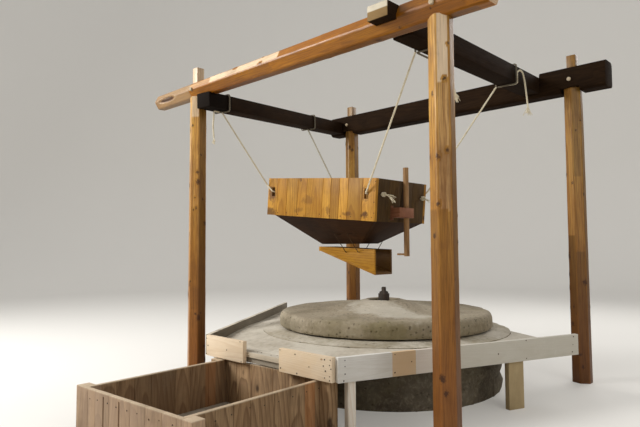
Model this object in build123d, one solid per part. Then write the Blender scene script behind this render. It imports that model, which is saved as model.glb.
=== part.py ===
"""Grain mill of a watermill: millstones on a plank bench under a frame of logs, which carries
a hanging hopper with its shoe, and a flour bin in front. Millimetres, +Z up, +Y to the back.
The origin is on the floor, on the axis of the spindle."""

import os
from math import cos, hypot, radians, sin

from build123d import *

# Fits shared by all pieces
seat_gap = 0.3
running_gap = 0.05
stone_gap = 8
past_all = 3000

# Frame of logs
post_gap_x = 1850
post_gap_y = 1560
post_foot_dia = 118
post_top_dia = 108
shoulder_height = 1830
tenon_width = 54
tenon_above = 82
shoulder_clearance = 6
peg_dia = 24
peg_out = 9
front_log_left_dia = 106
front_log_right_dia = 134
front_log_left_reach = 465
front_log_right_reach = 245
front_log_seat = 9
back_beam_width = 130
back_beam_height = 160
back_beam_left_reach = 185
back_beam_right_reach = 212
back_beam_seat = 30
back_beam_rounding = 26
side_beam_width = 115
side_beam_height = 96
left_beam_front = (-796, -830)
left_beam_back = (-1045, 770)
left_beam_rise = 82
right_beam_from_post = 192
right_beam_top_over_shoulder = 100
right_beam_height = 104
right_beam_lap_over_shoulder = 28
right_beam_lap_gap = 2
right_beam_end = 62

# Millstones and spindle
stone_height = 355
runner_dia = 1320
runner_rim = 90
runner_hub_dia = 620
runner_hub_rise = 17
runner_crown = 157
runner_slope_out = 0.03
runner_slope_in = 0.22
runner_edge_rounding = 30
eye_dia = 200
bedstone_dia = 1520
bedstone_slope_width = 85
bedstone_slope_drop = 14
bed_eye_dia = 150
pier_ledge = 50
spindle_dia = 48
spindle_head = 40
spindle_head_above = 70
spindle_head_chamfer = 5
foot_gap = 5
pier_sole = 20
rynd_width = 56
rynd_thickness = 30
rynd_bearing = 60
rynd_lift = 6
rynd_boss_dia = 70
rynd_boss_above = 28

# Bench round the stones
deck_height = 300
deck_thickness = 26
deck_front_y = -1020
deck_front_left_x = -430
deck_front_right_x = 515
deck_right_end = (1040, 350)
deck_left_end = (-1440, 490)
chute_left_x = -105
chute_right_x = 170
clay_outer_dia = 1960
clay_edge = 2
clay_below_bedstone = 3
joist_setback = 12
fence_height = 110
fence_above_deck = 55
fence_thickness = 24
joist_width = 70
narrow_leg = 38
wide_leg_width = 100
wide_leg_thickness = 30
narrow_leg_from_corner = 62
wide_leg_shares = (0.675, 0.80)

# Flour bin
bin_length = 670
bin_depth = 756
bin_under_fence = 5
bin_wall = 20
bin_floor_thickness = 18
bin_centre = (84, -1382)
bin_turn = 3.5
bin_post = 58
bin_slot_width = 10
bin_slot_top = 14
bin_slots = (0.22, 0.40)

# Hopper, its funnel and the ropes
hopper_length = 970
hopper_width = 525
hopper_height = 258
hopper_board = 22
hopper_right_x = 137
hopper_bottom_z = 985
hopper_tilt = 5.0
rope_slot_width = 32
rope_slot_height = 62
rope_hole_in = 55
right_slot_in = 72
rope_hole_down = 95
rope_dia = 12
rope_corner_rise = 45
rope_bend = 9
knot_dia = 34
knot_hole_dia = 20
back_left_hole_in = 205
rope_left_ties = (-665, 288)
rope_right_ties = (-515, 360)
funnel_board = 18
long_board_slant = 1.5
end_board_slant = 1.8
funnel_slope_share = 1.25
funnel_inset = (72, 12)
funnel_depth = 149
outlet_length = 425
outlet_width = 180
outlet_right_in = 237

# Shoe under the funnel
shoe_length = 470
shoe_width = 180
shoe_mouth_x = 0
shoe_mouth_top = 819
shoe_mouth_bottom = 673
shoe_head_top = 840
shoe_head_depth = 16
shoe_board = 14
cord_dia = 5
cord_bend = 4
cord_hole_dia = 5.6
cord_from_mouth = (130, 235)
cord_hole_below_top = 16
cord_hole_in_funnel = 62
cord_out_of_funnel = 48
cord_into_funnel = 57
cord_off_shoe = 6
cord_into_shoe = 12

# Clapper stick beside the hopper
stick_dia = 34
stick_top = 1325
stick_foot = 777
stick_x = 182
stick_peg_dia = 12
stick_peg_length = 70
crossbar_near = -112
crossbar_far = 36
crossbar_width = 62
crossbar_height = 60
crossbar_bottom = 1012
cleat_width = 24
cleat_over = 14
cleat_on_hopper = 100

# Values worked out from the driving sizes
left_x, right_x = -post_gap_x / 2, post_gap_x / 2
front_y, back_y = -post_gap_y / 2, post_gap_y / 2
log_left_x = left_x - front_log_left_reach
log_right_x = right_x + front_log_right_reach


def log_radius(x):
    """Radius of the tapered front log at x."""
    share = (x - log_left_x) / (log_right_x - log_left_x)
    return (front_log_left_dia + share * (front_log_right_dia - front_log_left_dia)) / 2


log_axis = shoulder_height + log_radius(left_x) - front_log_seat
back_beam_bottom = shoulder_height - back_beam_seat
back_beam_axis = back_beam_bottom + back_beam_height / 2
right_beam_top = shoulder_height + right_beam_top_over_shoulder
right_beam_lap = shoulder_height + right_beam_lap_over_shoulder
right_beam_bottom = right_beam_top - right_beam_height
right_beam_x = right_x - post_top_dia / 2 - right_beam_from_post
bedstone_top = stone_height - stone_gap
deck_bottom = deck_height - deck_thickness
fence_top = deck_height + fence_above_deck
fence_bottom = fence_top - fence_height
pier_radius = bedstone_dia / 2 - pier_ledge
bin_rim = fence_bottom - bin_under_fence


def block(x0, x1, y0, y1, z0, z1):
    """Box between two values on each axis."""
    return Pos((x0 + x1) / 2, (y0 + y1) / 2, (z0 + z1) / 2) * Box(x1 - x0, y1 - y0, z1 - z0)


def rod(start, end, dia):
    """Round bar between two points."""
    start, end = Vector(*start), Vector(*end)
    along = end - start
    bar = Cylinder(dia / 2, along.length, align=(Align.CENTER, Align.CENTER, Align.MIN))
    return Plane(origin=start, z_dir=along) * bar


def swept(points, dia, bend):
    """Round bar along a line of points, with rounded bends."""
    path = FilletPolyline(*points, radius=bend)
    section = Plane(origin=path @ 0, z_dir=path % 0) * Circle(dia / 2)
    return sweep(section, path=path)


def drum(radius, z0, z1):
    """Upright cylinder on the spindle's axis."""
    return Pos(0, 0, (z0 + z1) / 2) * Cylinder(radius, z1 - z0)


def write(shape, name):
    """One STEP file per piece."""
    export_step(shape, f"parts/{name}.step")


os.makedirs("parts", exist_ok=True)


# Posts with shoulders and through tenons
def post(x, y, tenon_top, peg_height):
    shaft = Cone(post_foot_dia / 2, post_top_dia / 2, shoulder_height)
    body = Pos(x, y, shoulder_height / 2) * shaft
    half = tenon_width / 2
    body += block(x - half, x + half, y - half, y + half, shoulder_height - 1, tenon_top)
    hole = Pos(x, y, peg_height) * Rot(90, 0, 0) * Cylinder(peg_dia / 2 + seat_gap, tenon_width + 2)
    return body - hole


front_tenon_top = log_axis + front_log_right_dia / 2 + tenon_above
back_tenon_top = back_beam_bottom + back_beam_height + tenon_above
write(post(left_x, front_y, front_tenon_top, log_axis), "post_front_left")
write(post(right_x, front_y, front_tenon_top, log_axis), "post_front_right")
write(post(left_x, back_y, back_tenon_top, back_beam_axis), "post_back_left")
write(post(right_x, back_y, back_tenon_top, back_beam_axis), "post_back_right")


def mortise(x, y):
    """What a tenon, its shoulder and a peg need cut out of a beam."""
    half = tenon_width / 2 + seat_gap
    seat = post_top_dia / 2 + seat_gap + shoulder_clearance
    if y < 0:
        depth, height, axis = front_log_right_dia, front_log_right_dia, log_axis
    else:
        depth, height, axis = back_beam_width, back_beam_height, back_beam_axis
    under = shoulder_height - height
    cut = block(x - half, x + half, y - half, y + half, under, axis + height)
    cut += block(x - seat, x + seat, y - depth, y + depth, under, shoulder_height)
    return cut + Pos(x, y, axis) * Rot(90, 0, 0) * Cylinder(peg_dia / 2 + seat_gap, 2 * depth)


def left_beam(grow):
    """Left side beam, grown all round: askew in plan and rising to the back, as it was fitted."""
    start = Vector(*left_beam_front, shoulder_height - side_beam_height / 2)
    end = Vector(*left_beam_back, start.Z + left_beam_rise)
    length = (end - start).length + 2 * grow
    beam = Box(side_beam_height + 2 * grow, side_beam_width + 2 * grow, length)
    return Plane((start + end) / 2, x_dir=(0, 0, 1), z_dir=end - start) * beam


def side_beam_cuts(y):
    """Housing in a beam for the left side beam, and lap on it for the right one."""
    half = side_beam_width / 2 + seat_gap
    depth = front_log_right_dia if y < 0 else back_beam_width
    top = right_beam_lap + front_log_right_dia + back_beam_height
    over = block(
        right_beam_x - half, right_beam_x + half, y - depth, y + depth, right_beam_lap, top
    )
    return left_beam(seat_gap) + over


# Front log: tapered and round
log_length = log_right_x - log_left_x
front_log = Pos((log_left_x + log_right_x) / 2, front_y, log_axis) * Rot(0, 90, 0) * Cone(
    front_log_left_dia / 2, front_log_right_dia / 2, log_length
)
front_log -= mortise(left_x, front_y) + mortise(right_x, front_y) + side_beam_cuts(front_y)
write(front_log, "beam_front")

# Back beam: squared log with rounded arrises
back_left_x = left_x - back_beam_left_reach
back_right_x = right_x + back_beam_right_reach
back_section = Plane.YZ * RectangleRounded(back_beam_width, back_beam_height, back_beam_rounding)
back_beam = Pos(back_left_x, back_y, back_beam_axis) * extrude(
    back_section, back_right_x - back_left_x
)
back_beam -= mortise(left_x, back_y) + mortise(right_x, back_y) + side_beam_cuts(back_y)
write(back_beam, "beam_back")

# Side beams: the left one housed in the front and back beams, the right one lapped over them
half_beam = side_beam_width / 2
write(left_beam(0), "side_beam_left")

lap_front = log_radius(right_beam_x) + right_beam_lap_gap
lap_back = back_beam_width / 2 + seat_gap
side_right = block(
    right_beam_x - half_beam,
    right_beam_x + half_beam,
    front_y - lap_front - right_beam_end,
    back_y + lap_back + right_beam_end,
    right_beam_bottom,
    right_beam_top,
)
for lap_start, lap_end in (
    (front_y - past_all, front_y + lap_front),
    (back_y - lap_back, back_y + past_all),
):
    side_right -= block(
        right_beam_x - side_beam_width,
        right_beam_x + side_beam_width,
        lap_start,
        lap_end,
        0,
        right_beam_lap,
    )
write(side_right, "side_beam_right")


# Dowel pegs through the beams and tenons
def peg(x, y):
    if y < 0:
        length, axis = 2 * log_radius(x), log_axis
    else:
        length, axis = back_beam_width, back_beam_axis
    return Pos(x, y, axis) * Rot(90, 0, 0) * Cylinder(peg_dia / 2, length + 2 * peg_out)


corners = [(x, y) for x in (left_x, right_x) for y in (front_y, back_y)]
write(Compound([peg(x, y) for x, y in corners]), "tenon_pegs")

# Masonry pier, bedstone, bush and the turning stone
pier = drum(pier_radius, 0, deck_bottom) - drum(bed_eye_dia / 2, pier_sole, past_all)
write(pier, "stone_pier")

bedstone = drum(bedstone_dia / 2, deck_bottom, bedstone_top)
bedstone = chamfer(
    bedstone.edges().group_by(Axis.Z)[-1], bedstone_slope_drop, bedstone_slope_width
)
write(bedstone - drum(bed_eye_dia / 2, 0, past_all), "bedstone")

bush = drum(bed_eye_dia / 2, deck_bottom, bedstone_top)
write(bush - drum(spindle_dia / 2 + running_gap, 0, past_all), "spindle_bush")

crown_z, rim_z = stone_height + runner_crown, stone_height + runner_rim
eye_radius, runner_radius = eye_dia / 2, runner_dia / 2
runner_edge = Polyline(
    (eye_radius, crown_z),
    (eye_radius, stone_height),
    (runner_radius, stone_height),
    (runner_radius, rim_z),
)
runner_top = Spline(
    (runner_radius, rim_z),
    (runner_hub_dia / 2, rim_z + runner_hub_rise),
    (eye_radius, crown_z),
    tangents=((-1, runner_slope_out), (-1, runner_slope_in)),
)
runner_face = make_face([runner_edge, runner_top])
rim_corner = runner_face.vertices().sort_by(lambda v: v.X + v.Y)[-1]
runner = revolve(Plane.XZ * fillet(rim_corner, runner_edge_rounding), Axis.Z)
rynd_length = eye_dia + 2 * rynd_bearing
rynd_bottom = stone_height + rynd_lift
rynd_seat = block(
    -rynd_length / 2 - seat_gap,
    rynd_length / 2 + seat_gap,
    -rynd_width / 2 - seat_gap,
    rynd_width / 2 + seat_gap,
    0,
    rynd_bottom + rynd_thickness,
)
write(runner - rynd_seat, "runner_stone")

rynd = block(
    -rynd_length / 2,
    rynd_length / 2,
    -rynd_width / 2,
    rynd_width / 2,
    rynd_bottom,
    rynd_bottom + rynd_thickness,
)
rynd += drum(rynd_boss_dia / 2, rynd_bottom, crown_z + rynd_boss_above)
rynd -= Box(spindle_head + 2 * seat_gap, spindle_head + 2 * seat_gap, past_all)
write(rynd, "rynd")

head_top = crown_z + spindle_head_above
spindle = block(
    -spindle_head / 2, spindle_head / 2, -spindle_head / 2, spindle_head / 2, rynd_bottom, head_top
)
spindle = chamfer(spindle.edges().group_by(Axis.Z)[-1], spindle_head_chamfer)
spindle_foot = pier_sole + foot_gap
spindle += drum(spindle_dia / 2, spindle_foot, rynd_bottom)
write(spindle, "spindle")


# Bench: points on the two slanted sides, and strips beside them
def side_frame(end, front_x):
    """Start point, unit direction, outward unit normal and length of a slanted side."""
    dx, dy = end[0] - front_x, end[1] - deck_front_y
    length = hypot(dx, dy)
    along = (dx / length, dy / length)
    turn = 1 if end[0] > front_x else -1
    return (front_x, deck_front_y), along, (turn * along[1], -turn * along[0]), length


right_side = side_frame(deck_right_end, deck_front_right_x)
left_side = side_frame(deck_left_end, deck_front_left_x)


def side_strip(side, start, end, inner, outer, z0, z1):
    """Board beside a slanted side: start to end along it, inner to outer across it."""
    origin, along, normal, _ = side
    corner = [
        (
            origin[0] + s * along[0] + n * normal[0],
            origin[1] + s * along[1] + n * normal[1],
        )
        for s, n in ((start, inner), (end, inner), (end, outer), (start, outer))
    ]
    return Pos(0, 0, z0) * extrude(make_face(Polyline(*corner, close=True)), z1 - z0)


# Deck planks in three pieces round the bedstone
deck_outline = make_face(
    Polyline(
        (deck_front_left_x, deck_front_y),
        (deck_front_right_x, deck_front_y),
        deck_right_end,
        deck_left_end,
        close=True,
    )
)
deck = Pos(0, 0, deck_bottom) * extrude(deck_outline, deck_thickness)
deck -= drum(bedstone_dia / 2 + seat_gap, 0, past_all)
deck_left = deck & block(-past_all, deck_front_left_x, -past_all, past_all, 0, past_all)
deck_right = deck & block(deck_front_right_x, past_all, -past_all, past_all, 0, past_all)
deck_front = deck & block(deck_front_left_x, deck_front_right_x, -past_all, 0, 0, past_all)
write(deck_left, "deck_left")
write(deck_right, "deck_right")
write(deck_front, "deck_front")

# Clay packed against the bedstone, falling away to the deck
clay_top = bedstone_top - bedstone_slope_drop - clay_below_bedstone
clay_inner = bedstone_dia / 2 + seat_gap
clay_face = make_face(
    Polyline(
        (clay_inner, deck_height),
        (clay_outer_dia / 2, deck_height),
        (clay_outer_dia / 2, deck_height + clay_edge),
        (clay_inner, clay_top),
        close=True,
    )
)
clay = revolve(Plane.XZ * clay_face, Axis.Z)
clay &= Pos(0, 0, deck_bottom) * extrude(deck_outline, deck_height)
write(clay, "clay_collar")

# Fence boards nailed to the edges of the deck
for name, side in (("fence_right", right_side), ("fence_left", left_side)):
    write(side_strip(side, 0, side[3], 0, fence_thickness, fence_bottom, fence_top), name)
front_out = deck_front_y - fence_thickness
write(
    block(deck_front_left_x, chute_left_x, front_out, deck_front_y, fence_bottom, fence_top),
    "fence_front_left",
)
write(
    block(chute_right_x, deck_front_right_x, front_out, deck_front_y, fence_bottom, fence_top),
    "fence_front_right",
)


# Legs and joists under the deck, the front joist notched round the front legs
leg_end = narrow_leg_from_corner + narrow_leg
front_legs = [
    side_strip(side, narrow_leg_from_corner, leg_end, -narrow_leg, 0, 0, deck_bottom)
    for side in (right_side, left_side)
]
write(Compound(front_legs), "legs_front")


def joist(side):
    strip = side_strip(side, leg_end, side[3], -joist_width, 0, fence_bottom, deck_bottom)
    return strip - around_pier


around_pier = drum(pier_radius + seat_gap, 0, past_all)
front_joist = block(
    deck_front_left_x,
    deck_front_right_x,
    deck_front_y + joist_setback,
    deck_front_y + joist_setback + joist_width,
    fence_bottom,
    deck_bottom,
)
front_joist = front_joist - around_pier - front_legs[0] - front_legs[1]
write(front_joist, "joist_front")
write(joist(right_side) - front_joist, "joist_right")
write(joist(left_side) - front_joist, "joist_left")


def wide_leg(side, share):
    start = side[3] * share
    return side_strip(side, start, start + wide_leg_width, -wide_leg_thickness, 0, 0, fence_bottom)


write(wide_leg(right_side, wide_leg_shares[0]), "leg_right")
write(wide_leg(left_side, wide_leg_shares[1]), "leg_left")

# Flour bin, set a little askew in front of the chute
bin_place = Pos(bin_centre[0], bin_centre[1], 0) * Rot(0, 0, bin_turn)
half_l, half_d = bin_length / 2, bin_depth / 2
bin_front = block(-half_l - bin_wall, half_l + bin_wall, -half_d - bin_wall, -half_d, 0, bin_rim)
for share in bin_slots:
    slot_x = -half_l + share * bin_length
    bin_front -= block(
        slot_x,
        slot_x + bin_slot_width,
        -half_d - bin_wall - 1,
        -half_d + 1,
        bin_floor_thickness,
        bin_rim - bin_slot_top,
    )
bin_back = block(-half_l - bin_wall, half_l + bin_wall, half_d, half_d + bin_wall, 0, bin_rim)
bin_left = block(-half_l - bin_wall, -half_l, -half_d, half_d, 0, bin_rim)
bin_right = block(half_l, half_l + bin_wall, -half_d, half_d, 0, bin_rim)
bin_floor = block(-half_l, half_l, -half_d, half_d, 0, bin_floor_thickness)
write(bin_place * bin_front, "bin_front")
write(bin_place * bin_back, "bin_back")
write(bin_place * bin_left, "bin_left")
write(bin_place * bin_right, "bin_right")
write(bin_place * bin_floor, "bin_floor")
bin_posts = []
for side in (-1, 1):
    inner = side * (half_l + bin_wall)
    outer = inner + side * bin_post
    for y0 in (-half_d - bin_wall, half_d + bin_wall - bin_post):
        left, right = min(inner, outer), max(inner, outer)
        bin_posts.append(bin_place * block(left, right, y0, y0 + bin_post, 0, bin_rim))
write(Compound(bin_posts), "bin_posts")

# Hopper box in its own level frame, then hung at its tilt
hopper_place = Pos(hopper_right_x, 0, hopper_bottom_z) * Rot(0, hopper_tilt, 0)
half_w = hopper_width / 2
rope_hole_z = hopper_height - rope_hole_down
slot_size = (rope_slot_width, rope_slot_height)
knot_hole_size = (knot_hole_dia, knot_hole_dia)
left_hole_x = -hopper_length + rope_hole_in
long_panel_holes = {
    "hopper_front": [(-right_slot_in, slot_size), (left_hole_x, slot_size)],
    "hopper_back": [
        (-right_slot_in, slot_size),
        (-hopper_length + back_left_hole_in, knot_hole_size),
    ],
}
end_panel_holes = {
    "hopper_left": [-half_w + rope_hole_in],
    "hopper_right": [-half_w + rope_hole_in, half_w - rope_hole_in],
}


def long_panel(name, y0):
    panel = block(-hopper_length, 0, y0, y0 + hopper_board, 0, hopper_height)
    for x, (width, height) in long_panel_holes[name]:
        panel -= Pos(x, y0, rope_hole_z) * Box(width, 3 * hopper_board, height)
    write(hopper_place * panel, name)


def end_panel(name, x0):
    half_inside = half_w - hopper_board
    panel = block(x0, x0 + hopper_board, -half_inside, half_inside, 0, hopper_height)
    drill = Rot(0, 90, 0) * Cylinder(knot_hole_dia / 2, 3 * hopper_board)
    for y in end_panel_holes[name]:
        panel -= Pos(x0, y, rope_hole_z) * drill
    write(hopper_place * panel, name)


long_panel("hopper_front", -half_w)
long_panel("hopper_back", half_w - hopper_board)
end_panel("hopper_left", -hopper_length)
end_panel("hopper_right", -hopper_board)


# Funnel of four boards: the long ones between the sloping outer and inner planes
def tapered(x0, x1, y, lower_x0, lower_x1, lower_y, top, depth):
    """Solid between a level rectangle at the top and a smaller one below it."""
    upper = Plane.XY.offset(top) * Pos((x0 + x1) / 2, 0) * Rectangle(x1 - x0, 2 * y)
    lower = Plane.XY.offset(top - depth) * Pos((lower_x0 + lower_x1) / 2, 0) * Rectangle(
        lower_x1 - lower_x0, 2 * lower_y
    )
    return loft([upper, lower])


full_depth = funnel_depth * funnel_slope_share
top_left, top_right = -hopper_length + funnel_inset[0], -funnel_inset[1]
low_left, low_right = -outlet_right_in - outlet_length, -outlet_right_in
top_y, low_y = half_w - funnel_inset[1], outlet_width / 2


def below(upper, lower):
    """Where a sloping line through the outlet comes to at the full depth of the boards."""
    return upper + (lower - upper) * funnel_slope_share


deep_left, deep_right = below(top_left, low_left), below(top_right, low_right)
deep_y = below(top_y, low_y)
long_in = funnel_board * long_board_slant
end_in = funnel_board * end_board_slant
outer = tapered(top_left, top_right, top_y, deep_left, deep_right, deep_y, 0, full_depth)
between_long = tapered(
    -past_all, past_all, top_y - long_in, -past_all, past_all, deep_y - long_in, 0, full_depth
)
between_ends = tapered(
    top_left + end_in,
    top_right - end_in,
    past_all,
    deep_left + end_in,
    deep_right - end_in,
    past_all,
    0,
    full_depth,
)
tilt = radians(hopper_tilt)
outlet_z = hopper_bottom_z - funnel_depth * cos(tilt) + outlet_right_in * sin(tilt)
under_outlet = block(-past_all, past_all, -past_all, past_all, 0, outlet_z)
long_boards = (outer - between_long).solids().sort_by(Axis.Y)
end_boards = ((outer & between_long) - between_ends).solids().sort_by(Axis.X)


# Where the cords of the shoe pass the long boards
cord_hole_z = outlet_z + cord_hole_in_funnel
funnel_face_y = low_y + (top_y - low_y) * cord_hole_in_funnel / funnel_depth


def cord_holes(y_side):
    """Holes for the shoe's cords through a long funnel board."""
    drill = Rot(90, 0, 0) * Cylinder(cord_hole_dia / 2, funnel_face_y + cord_into_funnel)
    return [
        Pos(shoe_mouth_x - back, y_side * funnel_face_y, cord_hole_z) * drill
        for back in cord_from_mouth
    ]


for name, board, side in (("funnel_front", long_boards[0], -1), ("funnel_back", long_boards[-1], 1)):
    board = hopper_place * board
    for hole in cord_holes(side):
        board -= hole
    write(board - under_outlet, name)
write(hopper_place * end_boards[0] - under_outlet, "funnel_left")
write(hopper_place * end_boards[-1] - under_outlet, "funnel_right")


# Ropes: a turn round the side beam, a taut run, and a tie at the hopper
def beam_turn(frame_plane, width, height):
    """Square turn of rope round a beam, in the plane across it."""
    grow = seat_gap + rope_dia
    outer_turn = RectangleRounded(height + 2 * grow, width + 2 * grow, rope_dia)
    inner_turn = Rectangle(height + 2 * seat_gap, width + 2 * seat_gap)
    return frame_plane * Pos(0, 0, -rope_dia / 2) * extrude(outer_turn - inner_turn, rope_dia)


def right_tie(tie_y):
    """Turn on the right side beam, and where the taut run leaves it."""
    height = right_beam_top - right_beam_bottom
    middle = Vector(right_beam_x, tie_y, (right_beam_top + right_beam_bottom) / 2)
    turn = beam_turn(Plane(middle, x_dir=(0, 0, 1), z_dir=(0, 1, 0)), side_beam_width, height)
    return turn, (right_beam_x - half_beam - rope_dia / 2, tie_y, right_beam_bottom - rope_dia / 2)


def left_tie(tie_y):
    """Turn on the slanting left side beam, and where the taut run leaves it."""
    start = Vector(*left_beam_front, shoulder_height - side_beam_height / 2)
    end = Vector(*left_beam_back, start.Z + left_beam_rise)
    middle = start + (end - start) * ((tie_y - start.Y) / (end.Y - start.Y))
    across = Plane(middle, x_dir=(0, 0, 1), z_dir=end - start)
    turn = beam_turn(across, side_beam_width, side_beam_height)
    return turn, (middle.X, tie_y, middle.Z - side_beam_height / 2 - seat_gap - rope_dia / 2)


def in_hopper(x, y, z):
    """Where a point of the level hopper lies once it hangs at its tilt."""
    return (hopper_place * Pos(x, y, z)).position


def corner_route(end_sign, side_sign, round_corner):
    """Points of a rope through a long panel and out of an end panel, and its knot there."""
    reach = seat_gap + rope_dia / 2
    x_face = 0 if end_sign > 0 else -hopper_length
    x_in = x_face - end_sign * (right_slot_in if end_sign > 0 else rope_hole_in)
    y_out = side_sign * (half_w + reach)
    y_in = side_sign * (half_w - rope_hole_in)
    knot = in_hopper(x_face + end_sign * (seat_gap + knot_dia / 2), y_in, rope_hole_z)
    route = [in_hopper(x_in, y_out, rope_hole_z), in_hopper(x_in, y_in, rope_hole_z), knot]
    if round_corner:
        x_corner = x_face + end_sign * reach
        route.insert(0, in_hopper(x_corner, y_out, rope_hole_z + rope_corner_rise))
    return route


def back_route():
    """Points of the rope through the back panel, with its knot inside."""
    x = -hopper_length + back_left_hole_in
    inside = half_w - hopper_board - seat_gap - knot_dia / 2
    return [in_hopper(x, half_w + rope_dia, rope_hole_z), in_hopper(x, inside, rope_hole_z)]


def rope(upper, route):
    turn, start = upper
    run = swept([Vector(*start)] + route, rope_dia, rope_bend)
    return turn + run + Pos(*route[-1]) * Sphere(knot_dia / 2)


write(rope(left_tie(rope_left_ties[0]), corner_route(-1, -1, True)), "rope_front_left")
write(rope(left_tie(rope_left_ties[1]), back_route()), "rope_back_left")
write(rope(right_tie(rope_right_ties[0]), corner_route(1, -1, False)), "rope_front_right")
write(rope(right_tie(rope_right_ties[1]), corner_route(1, 1, True)), "rope_back_right")

# Shoe: a wedge-shaped trough, deep at its mouth
head_x = shoe_mouth_x - shoe_length
head_bottom = shoe_head_top - shoe_head_depth
shoe_side_face = Plane.XZ * make_face(
    Polyline(
        (head_x, shoe_head_top),
        (shoe_mouth_x, shoe_mouth_top),
        (shoe_mouth_x, shoe_mouth_bottom),
        (head_x, head_bottom),
        close=True,
    )
)
half_shoe = shoe_width / 2
shoe_cord_z = shoe_mouth_top - cord_hole_below_top
shoe_drill = Rot(90, 0, 0) * Cylinder(cord_hole_dia / 2, 2 * shoe_width)
shoe_holes = [Pos(shoe_mouth_x - back, 0, shoe_cord_z) * shoe_drill for back in cord_from_mouth]
shoe_side = extrude(shoe_side_face, shoe_board)
shoe_front = Pos(0, -half_shoe + shoe_board, 0) * shoe_side - shoe_holes[0] - shoe_holes[1]
shoe_back = Pos(0, half_shoe, 0) * shoe_side - shoe_holes[0] - shoe_holes[1]
write(shoe_front, "shoe_front")
write(shoe_back, "shoe_back")
bottom_face = Plane.XZ * make_face(
    Polyline(
        (head_x, head_bottom),
        (shoe_mouth_x, shoe_mouth_bottom),
        (shoe_mouth_x, shoe_mouth_bottom - shoe_board),
        (head_x, head_bottom - shoe_board),
        close=True,
    )
)
write(Pos(0, half_shoe, 0) * extrude(bottom_face, shoe_width), "shoe_bottom")
head_board_bottom = head_bottom - shoe_board
write(
    block(
        head_x - shoe_board, head_x, -half_shoe, half_shoe, head_board_bottom, shoe_head_top
    ),
    "shoe_head",
)

# Cords that hang the shoe: through the funnel board, down, and through the shoe's side
shoe_cords = []
for back in cord_from_mouth:
    for side in (-1, 1):
        x = shoe_mouth_x - back
        out_shoe = side * (half_shoe + cord_off_shoe)
        inside = side * (half_shoe - shoe_board - cord_into_shoe)
        points = [
            (x, side * (funnel_face_y - cord_into_funnel), cord_hole_z),
            (x, side * (funnel_face_y + cord_out_of_funnel), cord_hole_z),
            (x, out_shoe, shoe_cord_z),
            (x, inside, shoe_cord_z),
        ]
        shoe_cords.append(swept(points, cord_dia, cord_bend))
write(Compound(shoe_cords), "shoe_cords")

# Clapper stick, held by a crossbar on two cleats
bar_right = stick_x + crossbar_width / 2
bar_left = bar_right - crossbar_width
bar_top = crossbar_bottom + crossbar_height
behind_face = hopper_place * block(-past_all, 0, -past_all, past_all, -past_all, past_all)
crossbar = block(bar_left, bar_right, crossbar_near, crossbar_far, crossbar_bottom, bar_top)
crossbar -= Pos(stick_x, 0, crossbar_bottom) * Cylinder(
    stick_dia / 2 + seat_gap, 3 * crossbar_height
)
write(crossbar, "clapper_crossbar")
cleat = block(
    hopper_right_x - cleat_on_hopper,
    bar_left,
    crossbar_near,
    crossbar_near + cleat_width,
    crossbar_bottom - cleat_over,
    bar_top + cleat_over,
)
write(cleat - behind_face, "clapper_cleat")
stick = Pos(stick_x, 0, (stick_top + stick_foot) / 2) * Cylinder(stick_dia / 2, stick_top - stick_foot)
peg_z = stick_foot + stick_peg_dia
stick += rod((stick_x, 0, peg_z), (stick_x - stick_peg_length, 0, peg_z), stick_peg_dia)
write(stick, "clapper_stick")
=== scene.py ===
import math
import random

import bmesh
import bpy
from mathutils import Matrix, Vector, noise


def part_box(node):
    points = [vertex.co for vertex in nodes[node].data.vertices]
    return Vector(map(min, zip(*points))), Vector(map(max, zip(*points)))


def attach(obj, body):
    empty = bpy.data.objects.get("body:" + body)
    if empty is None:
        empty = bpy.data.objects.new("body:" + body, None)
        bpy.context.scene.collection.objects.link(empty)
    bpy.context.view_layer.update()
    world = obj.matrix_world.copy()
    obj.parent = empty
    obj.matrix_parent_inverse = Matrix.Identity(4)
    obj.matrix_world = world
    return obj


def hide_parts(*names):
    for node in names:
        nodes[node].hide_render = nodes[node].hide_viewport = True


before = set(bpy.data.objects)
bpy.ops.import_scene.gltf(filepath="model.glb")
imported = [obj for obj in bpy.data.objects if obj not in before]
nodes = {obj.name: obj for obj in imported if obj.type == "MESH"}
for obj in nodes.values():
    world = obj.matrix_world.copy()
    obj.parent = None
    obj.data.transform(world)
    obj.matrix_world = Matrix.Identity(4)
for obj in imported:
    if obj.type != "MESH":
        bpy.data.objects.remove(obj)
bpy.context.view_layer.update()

print("frame loaded:", len(nodes), "nodes")


# small helpers for meshes
def newObject(name, data):
    piece = bpy.data.objects.new(name, data)
    bpy.context.scene.collection.objects.link(piece)
    return piece


def finishPiece(piece, body, slotName, *replaced):
    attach(piece, body)
    if replaced:
        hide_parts(*replaced)
    return piece


def applyModifiers(piece):
    # the evaluated mesh becomes the plain mesh, so that no modifier is left
    baked = bpy.data.meshes.new_from_object(piece.evaluated_get(bpy.context.evaluated_depsgraph_get()))
    piece.modifiers.clear()
    old = piece.data
    piece.data = baked
    bpy.data.meshes.remove(old)
    return piece


def plainMesh(name, verts, faces, material):
    mesh = bpy.data.meshes.new(name)
    mesh.from_pydata(verts, [], faces)
    mesh.materials.append(material)
    return mesh


def editMesh(mesh, change):
    work = bmesh.new()
    work.from_mesh(mesh)
    change(work)
    work.to_mesh(mesh)
    work.free()


def turnFacesOut(work):
    bmesh.ops.recalc_face_normals(work, faces=work.faces)


def cutAt(work, place, normal, **options):
    return bmesh.ops.bisect_plane(work, geom=work.verts[:] + work.edges[:] + work.faces[:], dist=0.000001,
                                  plane_co=place, plane_no=normal, **options)["geom_cut"]


def smoothByAngle(mesh, degrees):
    def markSharp(work):
        for edge in work.edges:
            edge.smooth = len(edge.link_faces) == 2 and edge.calc_face_angle(0) < math.radians(degrees)

    mesh.polygons.foreach_set("use_smooth", [True] * len(mesh.polygons))
    editMesh(mesh, markSharp)


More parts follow.
